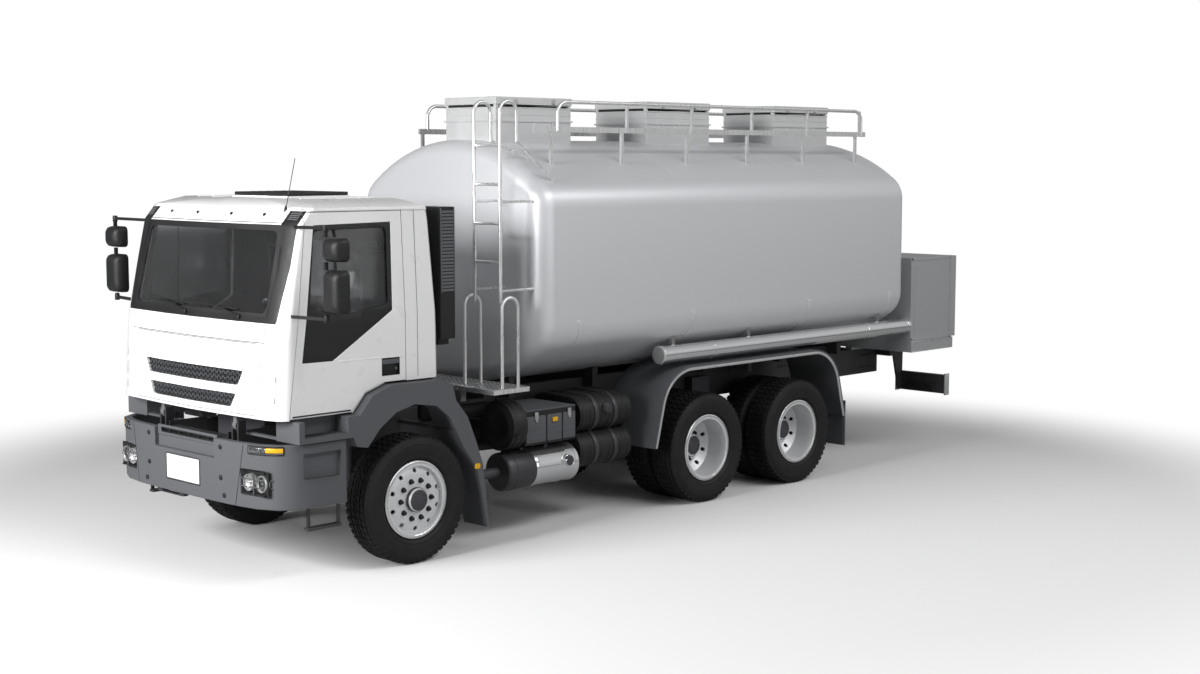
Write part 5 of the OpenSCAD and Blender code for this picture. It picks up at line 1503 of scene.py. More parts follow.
@dataclass
class Seats:
    """Two cab seats with simulated cushions, seams and plain pedestals."""

    middle: float = 0.650
    swell: float = 0.012
    voxel: float = 0.006

    def build(self) -> None:
        """Makes both seats."""
        base = Shape()
        for s in (1, -1):
            x = s * self.middle
            base.box((x - 0.183, -0.245, 1.548), (x + 0.183, 0.055, 1.700), 0.012)
            for k in range(5):
                base.box((x - 0.190 + 0.004 * k, -0.252 + 0.004 * k, 1.704 + 0.011 * k),
                         (x + 0.190 - 0.004 * k, 0.060 - 0.004 * k, 1.711 + 0.011 * k), 0.002, 1)
            for off in (-0.045, 0.045):
                base.tube([(x + off, 0.090, 2.520), (x + off, 0.090, 2.600)], 0.007, 12)
        base.done("seat_pedestals", DASH_PLASTIC, "cab", "seat_fabric", replaces=["seats"], sharp=35)
        for side in Side:
            x = side.value * self.middle
            self.pad(f"{side.word}_seat_cushion", (x - 0.240, -0.370, 1.765), (x + 0.240, 0.030, 1.898), "z")
            self.pad(f"{side.word}_seat_back", (x - 0.230, 0.042, 1.885), (x + 0.230, 0.153, 2.538), "y")
            self.pad(f"{side.word}_seat_headrest", (x - 0.130, 0.047, 2.562), (x + 0.130, 0.123, 2.728), "y")

    def pad(self, name: str, low: Point, high: Point, thin: str) -> None:
        """One cushion: an inflated closed form with its edge seam.

        Args:
            name: The piece's name.
            low: Lowest corner of the space it may fill.
            high: Highest corner of that space.
            thin: The axis along which it is thinnest.
        """
        gap = self.swell * 1.15
        a, b = Vector(low), Vector(high)
        inner = (a + Vector((gap, gap, gap)), b - Vector((gap, gap, gap)))
        shape = Shape().box(inner[0], inner[1], 0.028)
        piece = shape.done(name, SEAT_CLOTH, "cab", "seat_fabric", sharp=180)
        self.inflate(piece, a, b)
        self.seam(name, inner[0], inner[1], thin)

    def inflate(self, piece: bpy.types.Object, low: Vector, high: Vector) -> None:
        """Blows a cushion up as cloth, then keeps every point near its start and inside its space."""
        plain = piece.data.copy()
        trial = bpy.data.objects.new("trial", plain)
        bpy.context.scene.collection.objects.link(trial)
        remesh = trial.modifiers.new("remesh", "REMESH")
        remesh.mode = "VOXEL"
        remesh.voxel_size = self.voxel
        base = flattened(trial)
        trial.modifiers.clear()
        trial.data = base
        start = [v.co.copy() for v in base.vertices]
        cloth = trial.modifiers.new("cloth", "CLOTH")
        cloth.settings.use_pressure = True
        cloth.settings.uniform_pressure_force = 4.0
        cloth.settings.effector_weights.gravity = 0.0
        cloth.settings.quality = 4
        scene = bpy.context.scene
        for step in range(1, 21):
            scene.frame_set(step)
        blown = flattened(trial)
        trial.modifiers.clear()
        scene.frame_set(1)
        shift = Vector((0, AXLE_Y, 0))
        for vert, origin in zip(blown.vertices, start):
            move = vert.co - origin
            if move.length > self.swell:
                move *= self.swell / move.length
            place = origin + move - shift
            for k in range(3):
                place[k] = min(max(place[k], low[k] + 0.0005), high[k] - 0.0005)
            vert.co = place + shift
        blown.materials.clear()
        blown.materials.append(SEAT_CLOTH.material())
        blown.shade_smooth()
        bpy.data.objects.remove(trial)
        blown.name = piece.data.name
        piece.data = blown
        LOG.info("%s inflated: %d points", piece.name, len(blown.vertices))

    def seam(self, name: str, low: Vector, high: Vector, thin: str) -> None:
        """Piping round a cushion and two sewn channels across its face."""
        piping = Shape()
        reach = 0.05
        if thin == "z":
            ring = rounded(rectangle(low.x + 0.004, low.y + 0.004, high.x - 0.004, high.y - 0.004), reach, 6)
            piping.tube([(x, y, high.z + 0.001) for x, y in ring], 0.0045, 8, True)
            for k in (1, 2):
                x = low.x + (high.x - low.x) * k / 3
                piping.tube([(x, low.y + 0.02, high.z + 0.006), (x, high.y - 0.02, high.z + 0.006)], 0.0035,
                            8)
        else:
            ring = rounded(rectangle(low.x + 0.004, low.z + 0.004, high.x - 0.004, high.z - 0.004), reach, 6)
            piping.tube([(x, low.y - 0.001, z) for x, z in ring], 0.0045, 8, True)
            for k in (1, 2):
                x = low.x + (high.x - low.x) * k / 3
                piping.tube([(x, low.y - 0.006, low.z + 0.02), (x, low.y - 0.006, high.z - 0.02)], 0.0035, 8)
        piping.done(f"{name}_piping", DASH_PLASTIC, "cab", "seat_fabric")


@dataclass
class Door:
    """One door: its panel, window, dark sill triangle, handle, crease and gutter."""

    skin: Skin
    side: Side

    def put(self, shape: Shape, name: str, finish: Dressing, slot: str, bevel: float = 0.0,
            sharp: float = 45.0) -> None:
        """Finishes a piece made on the left, and moves it over for the right door."""
        if self.side is Side.RIGHT:
            shape.flipped()
        shape.done(f"{self.side.word}_door_{name}", finish, f"{self.side.word}_cab_door", slot, bevel,
                   sharp=sharp)

    def build(self) -> None:
        """Makes the door's pieces."""
        node = f"{self.side.word}_door"

        def skin_side(face: Vector) -> bool:
            bar = -0.295 < face.y < -0.105 and 1.5735 < face.z < 1.6065 and self.skin.depth(face) > 0.0015
            return self.skin.depth(face) < 0.030 and not bar

        refined(node, WHITE_PAINT, 0.004, f"{node}_panel", keep=skin_side)
        refined(node, DASH_PLASTIC, 0.002, f"{node}_card", keep=lambda f: self.skin.depth(f) >= 0.030,
                whole=False)
        self.window()
        self.handle()
        self.crease()

    def window(self) -> None:
        """The pane in its black frame, with the dark fixed triangle under the sloping sill."""
        pane = [(-1.048, 1.716), (-0.767, 1.712), (-0.178, 2.069), (-0.164, 2.761), (-0.903, 2.751)]
        glass = self.skin.plate(Shape(), pane, View.LEFT, -0.018, 0.006, 0.08)
        self.put(glass, "glass", DARK_GLASS, "glass")
        outer = [(-1.054, 1.710), (-0.764, 1.706), (-0.172, 2.065), (-0.158, 2.767), (-0.906, 2.757)]
        inner = [(-0.966, 2.120), (-0.700, 2.055), (-0.214, 2.112), (-0.205, 2.722), (-0.900, 2.712)]
        border = self.skin.plate(Shape(), rounded(outer, 0.03, 5), View.LEFT, -0.006, 0.006, 0.08,
                                 rounded(inner, 0.05, 5))
        self.put(border, "window_frame", BLACK_PLASTIC, "glass", 0.001)
        bar = Shape().tube([self.skin.point(View.LEFT, -0.700, z, -0.010) for z in (2.03, 2.30, 2.50, 2.72)],
                           0.007, 8)
        self.put(bar, "window_bar", BLACK_PLASTIC, "glass")

    def handle(self) -> None:
        """Handle in its pocket, over a dark cup, with a lock."""
        cup = Shape()
        x = self.skin.point(View.LEFT, -0.20, 1.62).x
        cup.box((x - 0.0195, -0.289, 1.549), (x - 0.0165, -0.111, 1.689))
        for low, high in (((x - 0.020, -0.2895, 1.549), (x - 0.001, -0.2865, 1.689)),
                          ((x - 0.020, -0.1135, 1.549), (x - 0.001, -0.1105, 1.689)),
                          ((x - 0.020, -0.2895, 1.549), (x - 0.001, -0.1105, 1.552)),
                          ((x - 0.020, -0.2895, 1.686), (x - 0.001, -0.1105, 1.689))):
            cup.box(low, high)
        self.put(cup, "handle_cup", BLACK_PLASTIC, "bumper_plastic", 0.0008)
        grip = Shape().box((x - 0.012, -0.286, 1.640), (x + 0.0015, -0.114, 1.678), 0.005)
        grip.lathe([(x - 0.018, 0.0), (x - 0.018, 0.012), (x - 0.006, 0.012), (x - 0.004, 0.009),
                    (x - 0.004, 0.0)],
                   (0, -0.142, 1.600), "X", 20)
        self.put(grip, "handle", BUMPER_PLASTIC, "bumper_plastic", sharp=30)

    def crease(self) -> None:
        """The belt crease, and a rubber seal along the door's sill."""
        line = Shape()
        self.skin.strip(line, [(-0.715, 1.700), (-0.30, 1.697), (-0.060, 1.694)], View.LEFT, 0.010, 0.0022,
                        0.005)
        self.put(line, "crease", WHITE_PAINT, "white_paint", 0.0008)
        seal = Shape()
        self.skin.strip(seal, [(-1.150, 1.310), (-0.602, 1.310)], View.LEFT, 0.012, 0.0015, 0.006)
        self.put(seal, "sill_seal", SEAL_RUBBER, "bumper_plastic")


@dataclass
class GrilleFlap:
    """The front flap with two honeycomb slots."""

    skin: Skin
    depth: float = 0.026

    def build(self) -> None:
        """Makes the flap, its slots and their meshes."""
        upper = rounded(both([(0.640, 1.525), (0.700, 1.640)]), 0.022, 5)
        lower = rounded(both([(0.560, 1.352), (0.620, 1.457)]), 0.022, 5)
        body = Shape().node("grille_flap")
        for slot in (upper, lower):
            body.cut(self.skin.plate(Shape(), slot, View.FRONT, 0.03, 0.03 + self.depth, 0.06))
        body.done("grille_flap_body", WHITE_PAINT, "front_flap", "white_paint", 0.005, ["grille_flap"],
                  even=True)
        back = Shape()
        for slot in (upper, lower):
            self.skin.plate(back, self.inset(slot, 0.0008), View.FRONT, -self.depth + 0.004, 0.004, 0.06)
        back.done("grille_backs", BLACK_PLASTIC, "front_flap", "bumper_plastic")
        self.mesh("upper", 1.525, 1.640, 0.640, 0.700)
        self.mesh("lower", 1.352, 1.457, 0.560, 0.620)

    @staticmethod
    def inset(outline: Sequence[Point], by: float) -> list[tuple[float, float]]:
        """The outline drawn in towards its middle line."""
        middle = sum(v for _, v in outline) / len(outline)
        return [(u - math.copysign(by, u), v - math.copysign(by, v - middle)) for u, v in outline]

    def mesh(self, name: str, low: float, high: float, half_low: float, half_high: float) -> None:
        """A honeycomb of open cells that follows the slot."""
        pitch, wall = 0.034, 0.0032
        ring = [(pitch * 0.577 * math.cos(math.pi * k / 3), pitch * 0.577 * math.sin(math.pi * k / 3))
                for k in range(6)]
        cell = Shape()
        for i in range(6):
            a, b = Vector((*ring[i], 0)), Vector((*ring[(i + 1) % 6], 0))
            side = (b - a).normalized()
            out = Vector((side.y, -side.x, 0)) * wall / 2
            rings = [[p + out, p - out, p - out + Vector((0, 0, 0.008)), p + out + Vector((0, 0, 0.008))]
                     for p in (a, b)]
            cell.loft(rings)
        columns = int(2 * half_high / (pitch * 0.866)) + 2
        rows = int((high - low) / pitch) + 2
        repeat = Repeat(Layout.HONEYCOMB, columns, (columns - 1) * pitch * 0.866, rows, pitch)
        data = repeat.made(cell, BLACK_PLASTIC)
        shape = Shape()
        shape.bm.from_mesh(data)
        middle = (low + high) / 2

        def inside(x: float, z: float) -> bool:
            share = (z - low) / (high - low)
            half = half_low + (half_high - half_low) * share - 0.006
            return low + 0.004 < z < high - 0.004 and abs(x) < half

        gone = []
        for face in shape.bm.faces:
            c = face.calc_center_median()
            if not inside(c.x, c.y + middle):
                gone.append(face)
        bmesh.ops.delete(shape.bm, geom=gone, context="FACES")
        for vert in shape.bm.verts:
            share = min(max((vert.co.y + middle - low) / (high - low), 0.0), 1.0)
            half = half_low + (half_high - half_low) * share - 0.002
            x = min(max(vert.co.x, -half), half)
            z = min(max(vert.co.y + middle, low + 0.001), high - 0.001)
            vert.co = self.skin.point(View.FRONT, x, z, -0.020 + vert.co.z)
        bmesh.ops.remove_doubles(shape.bm, verts=shape.bm.verts, dist=1e-5)
        shape.done(f"{name}_grille_mesh", BUMPER_PLASTIC, "front_flap", "bumper_plastic", sharp=30)


# ---- bumper, fenders and mudguards ----

@dataclass
class Bumper:
    """The bumper with its lamps, grille, seams, brackets and number plate."""

    lamp_z: float = 0.800
    lamp_x: tuple[float, float] = (0.842, 0.982)
    recess_y: float = -1.305
    front_y: float = -1.400 + AXLE_Y

    def build(self) -> None:
        """Makes the bumper's pieces."""
        body = refined("bumper", BUMPER_PLASTIC, 0.012, sharp=35, keep=lambda f: f.y > -1.3995)
        for vert in body.data.vertices:
            vert.co.y = max(vert.co.y, self.front_y)
        self.lamps()
        self.slim_lamps()
        self.front_details()
        self.plate()

    def lamps(self) -> None:
        """Two round lamps on each side, in a dark box behind guard bars."""
        bowls, lenses, bezels, boxes = Shape(), Shape(), Shape(), Shape()
        for i, x in enumerate(self.lamp_x):
            front = -1.347 + 0.020 * i
            c = (x, 0, self.lamp_z)
            bowls.lathe([(front + 0.026, 0.0), (front + 0.0255, 0.018), (front + 0.022, 0.034),
                         (front + 0.014, 0.048), (front + 0.002, 0.058), (front + 0.004, 0.061),
                         (front + 0.030, 0.050), (front + 0.031, 0.0)], c, "Y", 48)
            bowls.lathe([(front + 0.026, 0.0), (front + 0.026, 0.006), (front + 0.012, 0.0075),
                         (front + 0.006, 0.005), (front + 0.005, 0.0)], c, "Y", 20)
            lenses.lathe([(front + 0.001, 0.0), (front - 0.001, 0.030), (front + 0.002, 0.0585),
                          (front + 0.005, 0.0585), (front + 0.003, 0.030), (front + 0.004, 0.0)], c, "Y", 48)
            bezels.lathe([(front - 0.002, 0.0590), (front - 0.006, 0.0605), (front - 0.006, 0.0640),
                          (front + 0.030, 0.0690), (front + 0.030, 0.0620), (front - 0.002, 0.0590)], c, "Y",
                         48)
        boxes.box((0.762, self.recess_y - 0.012, 0.702), (1.058, self.recess_y - 0.001, 0.898), 0.002)
        boxes.box((0.764, -1.335, 0.880), (1.030, self.recess_y - 0.002, 0.892), 0.003)
        boxes.box((0.764, -1.340, 0.706), (1.030, self.recess_y - 0.002, 0.720), 0.003)
        bars = Shape()
        for z in (0.770, 0.830):
            bars.tube(bezier([(0.752, -1.352, z), (0.800, -1.368, z), (0.930, -1.350, z), (1.050, -1.300, z),
                              (1.072, -1.278, z)], 5, 0.03), 0.0048, 10)
        for x, y in ((0.915, -1.353),):
            bars.tube([(x, y, 0.712), (x, y, 0.888)], 0.0048, 10)
        bowls.mirrored().done("lamp_reflectors", REFLECTOR, "chassis", "glass", sharp=60)
        lenses.mirrored().done("lamp_lenses", CLEAR_LENS, "chassis", "glass", sharp=60)
        bezels.mirrored().done("lamp_bezels", TRIM_GREY, "chassis", "bumper_plastic", sharp=50)
        boxes.mirrored().done("lamp_boxes", BLACK_PLASTIC, "chassis", "bumper_plastic", sharp=35)
        bars.mirrored().done("lamp_guards", BUMPER_PLASTIC, "chassis", "bumper_plastic", sharp=40)

    def slim_lamps(self) -> None:
        """A slim lamp at each upper corner, split into an amber and a clear part."""
        clear, amber, rims = Shape(), Shape(), Shape()
        face = [(0.86, -1.3595), (0.93, -1.3455), (1.02, -1.3065), (1.10, -1.2645), (1.13, -1.2195)]
        for shape, part in ((clear, face[:3]), (amber, face[2:])):
            rings = []
            for x, y in part:
                z0, z1 = 1.034 + (x - 0.86) * 0.03, 1.084 - (x - 0.86) * 0.02
                rings.append([(x, y, z0), (x, y - 0.008, z0 + 0.006), (x, y - 0.010, (z0 + z1) / 2),
                              (x, y - 0.008, z1 - 0.006), (x, y, z1), (x, y + 0.020, z1), (x, y + 0.020, z0)])
            shape.loft(rings)
        loop = [(x, y - 0.003, z) for x, y in face for z in (1.028,)]
        back = [(x, y - 0.003, 1.090) for x, y in reversed(face)]
        rims.tube(bezier(loop + back, 4, 0.01), 0.005, 8)
        clear.mirrored().done("corner_lamps", CLEAR_LENS, "chassis", "glass", 0.002, sharp=50)
        amber.mirrored().done("corner_markers", AMBER, "chassis", "glass", 0.002, sharp=50)
        rims.mirrored().done("corner_lamp_rims", BLACK_PLASTIC, "chassis", "bumper_plastic", sharp=50)

    def front_details(self) -> None:
        """Grille slats and step bar in the notch, seams, bolts and the towing bracket."""
        slats = Shape()
        for k in range(5):
            z = 0.962 + 0.030 * k
            slats.prism([(-1.338, z), (-1.318, z + 0.006), (-1.316, z + 0.018), (-1.336, z + 0.012)], "X",
                        -0.426, 0.426)
        for x in (-0.28, -0.14, 0.0, 0.14, 0.28):
            slats.box((x - 0.006, -1.3375, 0.948), (x + 0.006, -1.310, 1.098), 0.002)
        slats.box((-0.427, -1.312, 0.947), (0.427, -1.302, 1.104), 0.002)
        slats.done("intake_slats", BLACK_PLASTIC, "chassis", "bumper_plastic", 0.0012)
        step = Shape().prism(rounded(rectangle(-0.4290, 1.036, 0.4290, 1.118), 0.012, 4), "Y", -1.356, -1.340)
        hole = Shape().prism(rounded(rectangle(-0.385, 1.057, 0.385, 1.097), 0.014, 4), "Y", -1.37, -1.33)
        step.cut(hole)
        step.done("front_step_bar", BUMPER_PLASTIC, "chassis", "bumper_plastic", 0.003)
        places = [(s * x, y, z) for s in (1, -1) for x, y, z in
                  ((0.52, -1.379, 1.04), (0.52, -1.379, 0.80), (0.56, -1.377, 0.665))]
        bolts(places, "Y", -1, 0.020, 0.012).done("bumper_bolts", DARK_BOLT, "chassis", "bumper_plastic",
                                                  sharp=30)
        seams = Shape()
        for s in (1, -1):
            outline = [(s * 0.7965, 1.095), (s * 0.8025, 1.095), (s * 0.7025, 0.604), (s * 0.6965, 0.604)]
            ends = []
            for x, z in outline:
                ends.append((x, -1.375 + (abs(x) - 0.7) * 0.152, z))
            seams.loft([[(x, y - 0.0010, z) for x, y, z in ends], [(x, y + 0.004, z) for x, y, z in ends]])
        seams.done("bumper_seams", SEAL_RUBBER, "chassis", "bumper_plastic")
        hook = Shape().prism(rounded([(-0.49, 0.555), (-0.10, 0.555), (-0.10, 0.598), (-0.49, 0.598)], 0.012,
                                     4),
                             "Y", -1.335, -1.290)
        hook.cut(Shape().prism(rounded([(-0.42, 0.566), (-0.17, 0.566), (-0.17, 0.588), (-0.42, 0.588)],
                                       0.008, 4),
                               "Y", -1.36, -1.27))
        hook.done("towing_bracket", CHASSIS_BLACK, "chassis", "chassis_black", 0.002)

    def plate(self) -> None:
        """A bare number plate on its holder, in a thin frame."""
        half_w, half_h, z = 0.235, 0.0975, 0.807
        Shape().prism(rounded(rectangle(-half_w, z - half_h, half_w, z + half_h), 0.008, 4), "Y", -1.3998,
                      -1.3960).done("number_plate", PLATE_WHITE, "chassis", "bumper_plastic", 0.0006)
        Shape().prism(rounded(rectangle(-0.2445, 0.7005, 0.2445, 0.9145), 0.010, 4), "Y", -1.3975,
                      -1.3600).done("plate_holder", BUMPER_PLASTIC, "chassis", "bumper_plastic", 0.003)
        ring = [(x, -1.3975, v) for x,
                v in rounded(rectangle(-half_w - 0.004, z - half_h - 0.004, half_w + 0.004,
                                                              z + half_h + 0.004), 0.012, 4)]
        Shape().tube(ring, 0.0024, 8, True).done("plate_frame", BLACK_PLASTIC, "chassis", "bumper_plastic")


@dataclass
class Fenders:
    """Front fenders with steps and flaps, rear mudguards with bright edge trims."""

    guard_top: float = 1.330
    bend: float = 0.430
    half: float = 1.250

    def build(self) -> None:
        """Makes fenders, trims, steps and mud flaps."""
        refined("front_fenders", BUMPER_PLASTIC, 0.007, sharp=35)
        refined("rear_mudguards", BUMPER_PLASTIC, 0.004, sharp=35)
        self.edges()
        self.steps()
        self.ribs()

    def guard(self, inset: float) -> list[tuple[float, float]]:
        """The rear mudguard's line as (y, z) points."""
        r = self.bend - inset
        top = self.guard_top - self.bend
        return ([(MID_Y - 0.768 + inset, 0.604)] + half_round(r, 16, 165, 90, (MID_Y - 0.250, top))
                + half_round(r, 16, 90, 15, (REAR_Y + 0.250, top)) + [(REAR_Y + 0.775 - inset, 0.604)])

    def edges(self) -> None:
        """A folded bright trim along each rear mudguard's outer edge."""
        trim, lip = Shape(), Shape()
        outer, inner = self.guard(0.0015), self.guard(0.042)
        trim.prism(outer + inner[::-1], "X", self.half - 0.010, self.half - 0.0008)
        for inset in (0.006, 0.037):
            lip.tube([(self.half - 0.0050, y, z) for y, z in self.guard(inset)], 0.0045, 8)
        trim.mirrored().done("mudguard_trims", TRIM_GREY, "chassis", "bright_steel", 0.0015, sharp=30)
        lip.mirrored().done("mudguard_beads", BRIGHT_STEEL, "chassis", "bright_steel", sharp=50)

    def steps(self) -> None:
        """Tread plates in the cab's steps, and a hanging step below them on each side."""
        part = Shape().box((-0.005, -0.045, 0.0), (0.005, 0.045, 0.004), 0.001, 1)
        row = Repeat(Layout.ROW, 9, 0.28).made(part, CHASSIS_BLACK)
        shape = Shape()
        turn = Matrix.Rotation(math.radians(90), 4, "Z")
        shape.mesh(row, Matrix.Translation((1.130, -1.055, 1.1505)) @ turn)
        shape.mesh(row, Matrix.Translation((1.185, -1.055, 0.8305)) @ turn)
        shape.mirrored().done("step_treads", CHASSIS_BLACK, "chassis", "chassis_black", sharp=30)
        hanging = Shape()
        for y in (-1.005, -0.720):
            hanging.box((1.120, y - 0.016, 0.425), (1.132, y + 0.016, 0.612), 0.003, 2)
        hanging.box((1.085, -1.022, 0.412), (1.150, -0.703, 0.436), 0.006, 2)
        hanging.mirrored().done("hanging_steps", CHASSIS_BLACK, "chassis", "chassis_black", sharp=35)

    def ribs(self) -> None:
        """Pressed ribs on the mud flaps, their clamp bars, and marker lamps on the front flaps."""
        shape = Shape()
        y = REAR_Y + 0.787
        for k in range(6):
            x = 0.70 + 0.09 * k
            shape.box((x - 0.006, y - 0.0005, 0.32), (x + 0.006, y + 0.003, 0.70), 0.001, 1)
        shape.box((0.635, y - 0.002, 0.715), (1.235, y + 0.007, 0.745), 0.002)
        shape.mirrored().done("flap_ribs", BLACK_PLASTIC, "chassis", "bumper_plastic")
        nuts = [(s * x, y + 0.006, 0.730) for s in (1, -1) for x in (0.70, 0.93, 1.16)]
        bolts(nuts, "Y", 1, 0.009, 0.008).done("flap_bolts", ZINC, "chassis", "bumper_plastic", sharp=30)
        lamp = Shape().prism(rounded(rectangle(0.600, 0.700, 0.655, 0.745), 0.012, 4), "X", 1.2340, 1.2460)
        lamp.mirrored().done("front_flap_markers", AMBER, "chassis", "glass", 0.003, sharp=50)


# ---- chassis and its equipment ----

@dataclass
class Chassis:
    """Frame, axles, engine block and the underrun bar, with rivets, hoses and lamps."""

    rail_x: float = 0.430
    rear: float = 7.720

    def build(self) -> None:
        """Makes the chassis pieces."""
        refined("chassis_frame", CHASSIS_BLACK, 0.004, sharp=35)
        refined("engine_block", CAST_DARK, 0.010, sharp=35)
        refined("front_axle", CAST_DARK, 0.004, sharp=35)
        refined("rear_axles", CAST_DARK, 0.004, sharp=35)
        for side in Side:
            refined(f"{side.word}_knuckle", CAST_DARK, 0.004, sharp=35)
        self.rivets()
        self.drums()
        self.underrun()
        self.springs()

    def rivets(self) -> None:
        """Rows of frame bolts where cross members meet the rails."""
        part = bolt(0.0105, 0.010)
        row = Repeat(Layout.ROW, 4, 0.18).made(part, CHASSIS_BLACK)
        shape = Shape()
        for y in (1.25, 2.35, (MID_Y + REAR_Y) / 2, 5.70, 7.16):
            for z in (0.925, 1.055):
                for s in (1, -1):
                    turn = Matrix(((0, 0, s, 0), (s, 0, 0, 0), (0, 1, 0, 0), (0, 0, 0, 1)))
                    shape.mesh(row, Matrix.Translation((s * self.rail_x, y - 0.09 if s > 0 else y + 0.09,
                                                        z)) @ turn)
        shape.done("frame_bolts", CHASSIS_BLACK, "chassis", "chassis_black", sharp=30)

    def drums(self) -> None:
        """Cooling ribs round the front brake drums."""
        for side in Side:
            s, shape = side.value, Shape()
            for k in range(4):
                x = 0.952 + 0.017 * k
                shape.lathe([(s * x, 0.199), (s * x, 0.2045), (s * (x + 0.007), 0.2045),
                             (s * (x + 0.007), 0.199),
                             (s * x, 0.199)], (0, 0, AXLE_Z), "X", 64)
            shape.done(f"{side.word}_drum_ribs", CAST_DARK, f"steer_{side.word}", "cast_dark", sharp=30)

    def springs(self) -> None:
        """Spring clips, shock absorbers and brake hoses beside the front axle."""
        shape = Shape()
        for y in (-0.42, -0.20, 0.20, 0.42):
            for x in (0.361, 0.428):
                shape.box((x, y - 0.018, 0.622), (x + 0.006, y + 0.018, 0.690), 0.001, 1)
        shape.lathe([(0.47, 0.0), (0.47, 0.030), (0.70, 0.030), (0.70, 0.038), (0.93, 0.038), (0.93, 0.0)],
                    (0.520, -0.150, 0), "Z", 24)
        hose = bezier([(0.436, 0.30, 0.92), (0.500, 0.22, 0.80), (0.700, 0.16, 0.64), (0.800, 0.10, 0.560)],
                      8, 0.08)
        shape.tube(hose, 0.009, 10)
        shape.mirrored().done("axle_fittings", CAST_DARK, "chassis", "cast_dark", sharp=35)

    def underrun(self) -> None:
        """Bright end plates, lamp blocks and a rear reflector strip on each half of the bar."""
        y = self.rear - 0.100
        ends, lamps, red, amber = Shape(), Shape(), Shape(), Shape()
        for x in (0.5395, 1.1945):
            ends.prism(rounded(rectangle(y - 0.0105, 0.6245, y + 0.0705, 0.8655), 0.014, 4), "X", x,
                       x + 0.016)
        lamps.box((0.700, y - 0.034, 0.660), (1.060, y - 0.002, 0.735), 0.005)
        lamps.box((0.620, y + 0.0585, 0.676), (1.120, y + 0.076, 0.814), 0.005)
        for k, shape in enumerate((red, amber, red)):
            x = 0.635 + 0.160 * k
            shape.box((x, y + 0.0735, 0.690), (x + 0.150, y + 0.0815, 0.800), 0.003)
        ends.mirrored().done("underrun_ends", TRIM_GREY, "chassis", "chassis_black", 0.002)
        lamps.mirrored().done("tail_lamp_blocks", BLACK_PLASTIC, "chassis", "chassis_black")
        red.mirrored().done("tail_lamps", RED_LENS, "chassis", "glass", sharp=50)
        amber.mirrored().done("tail_indicators", AMBER, "chassis", "glass", sharp=50)


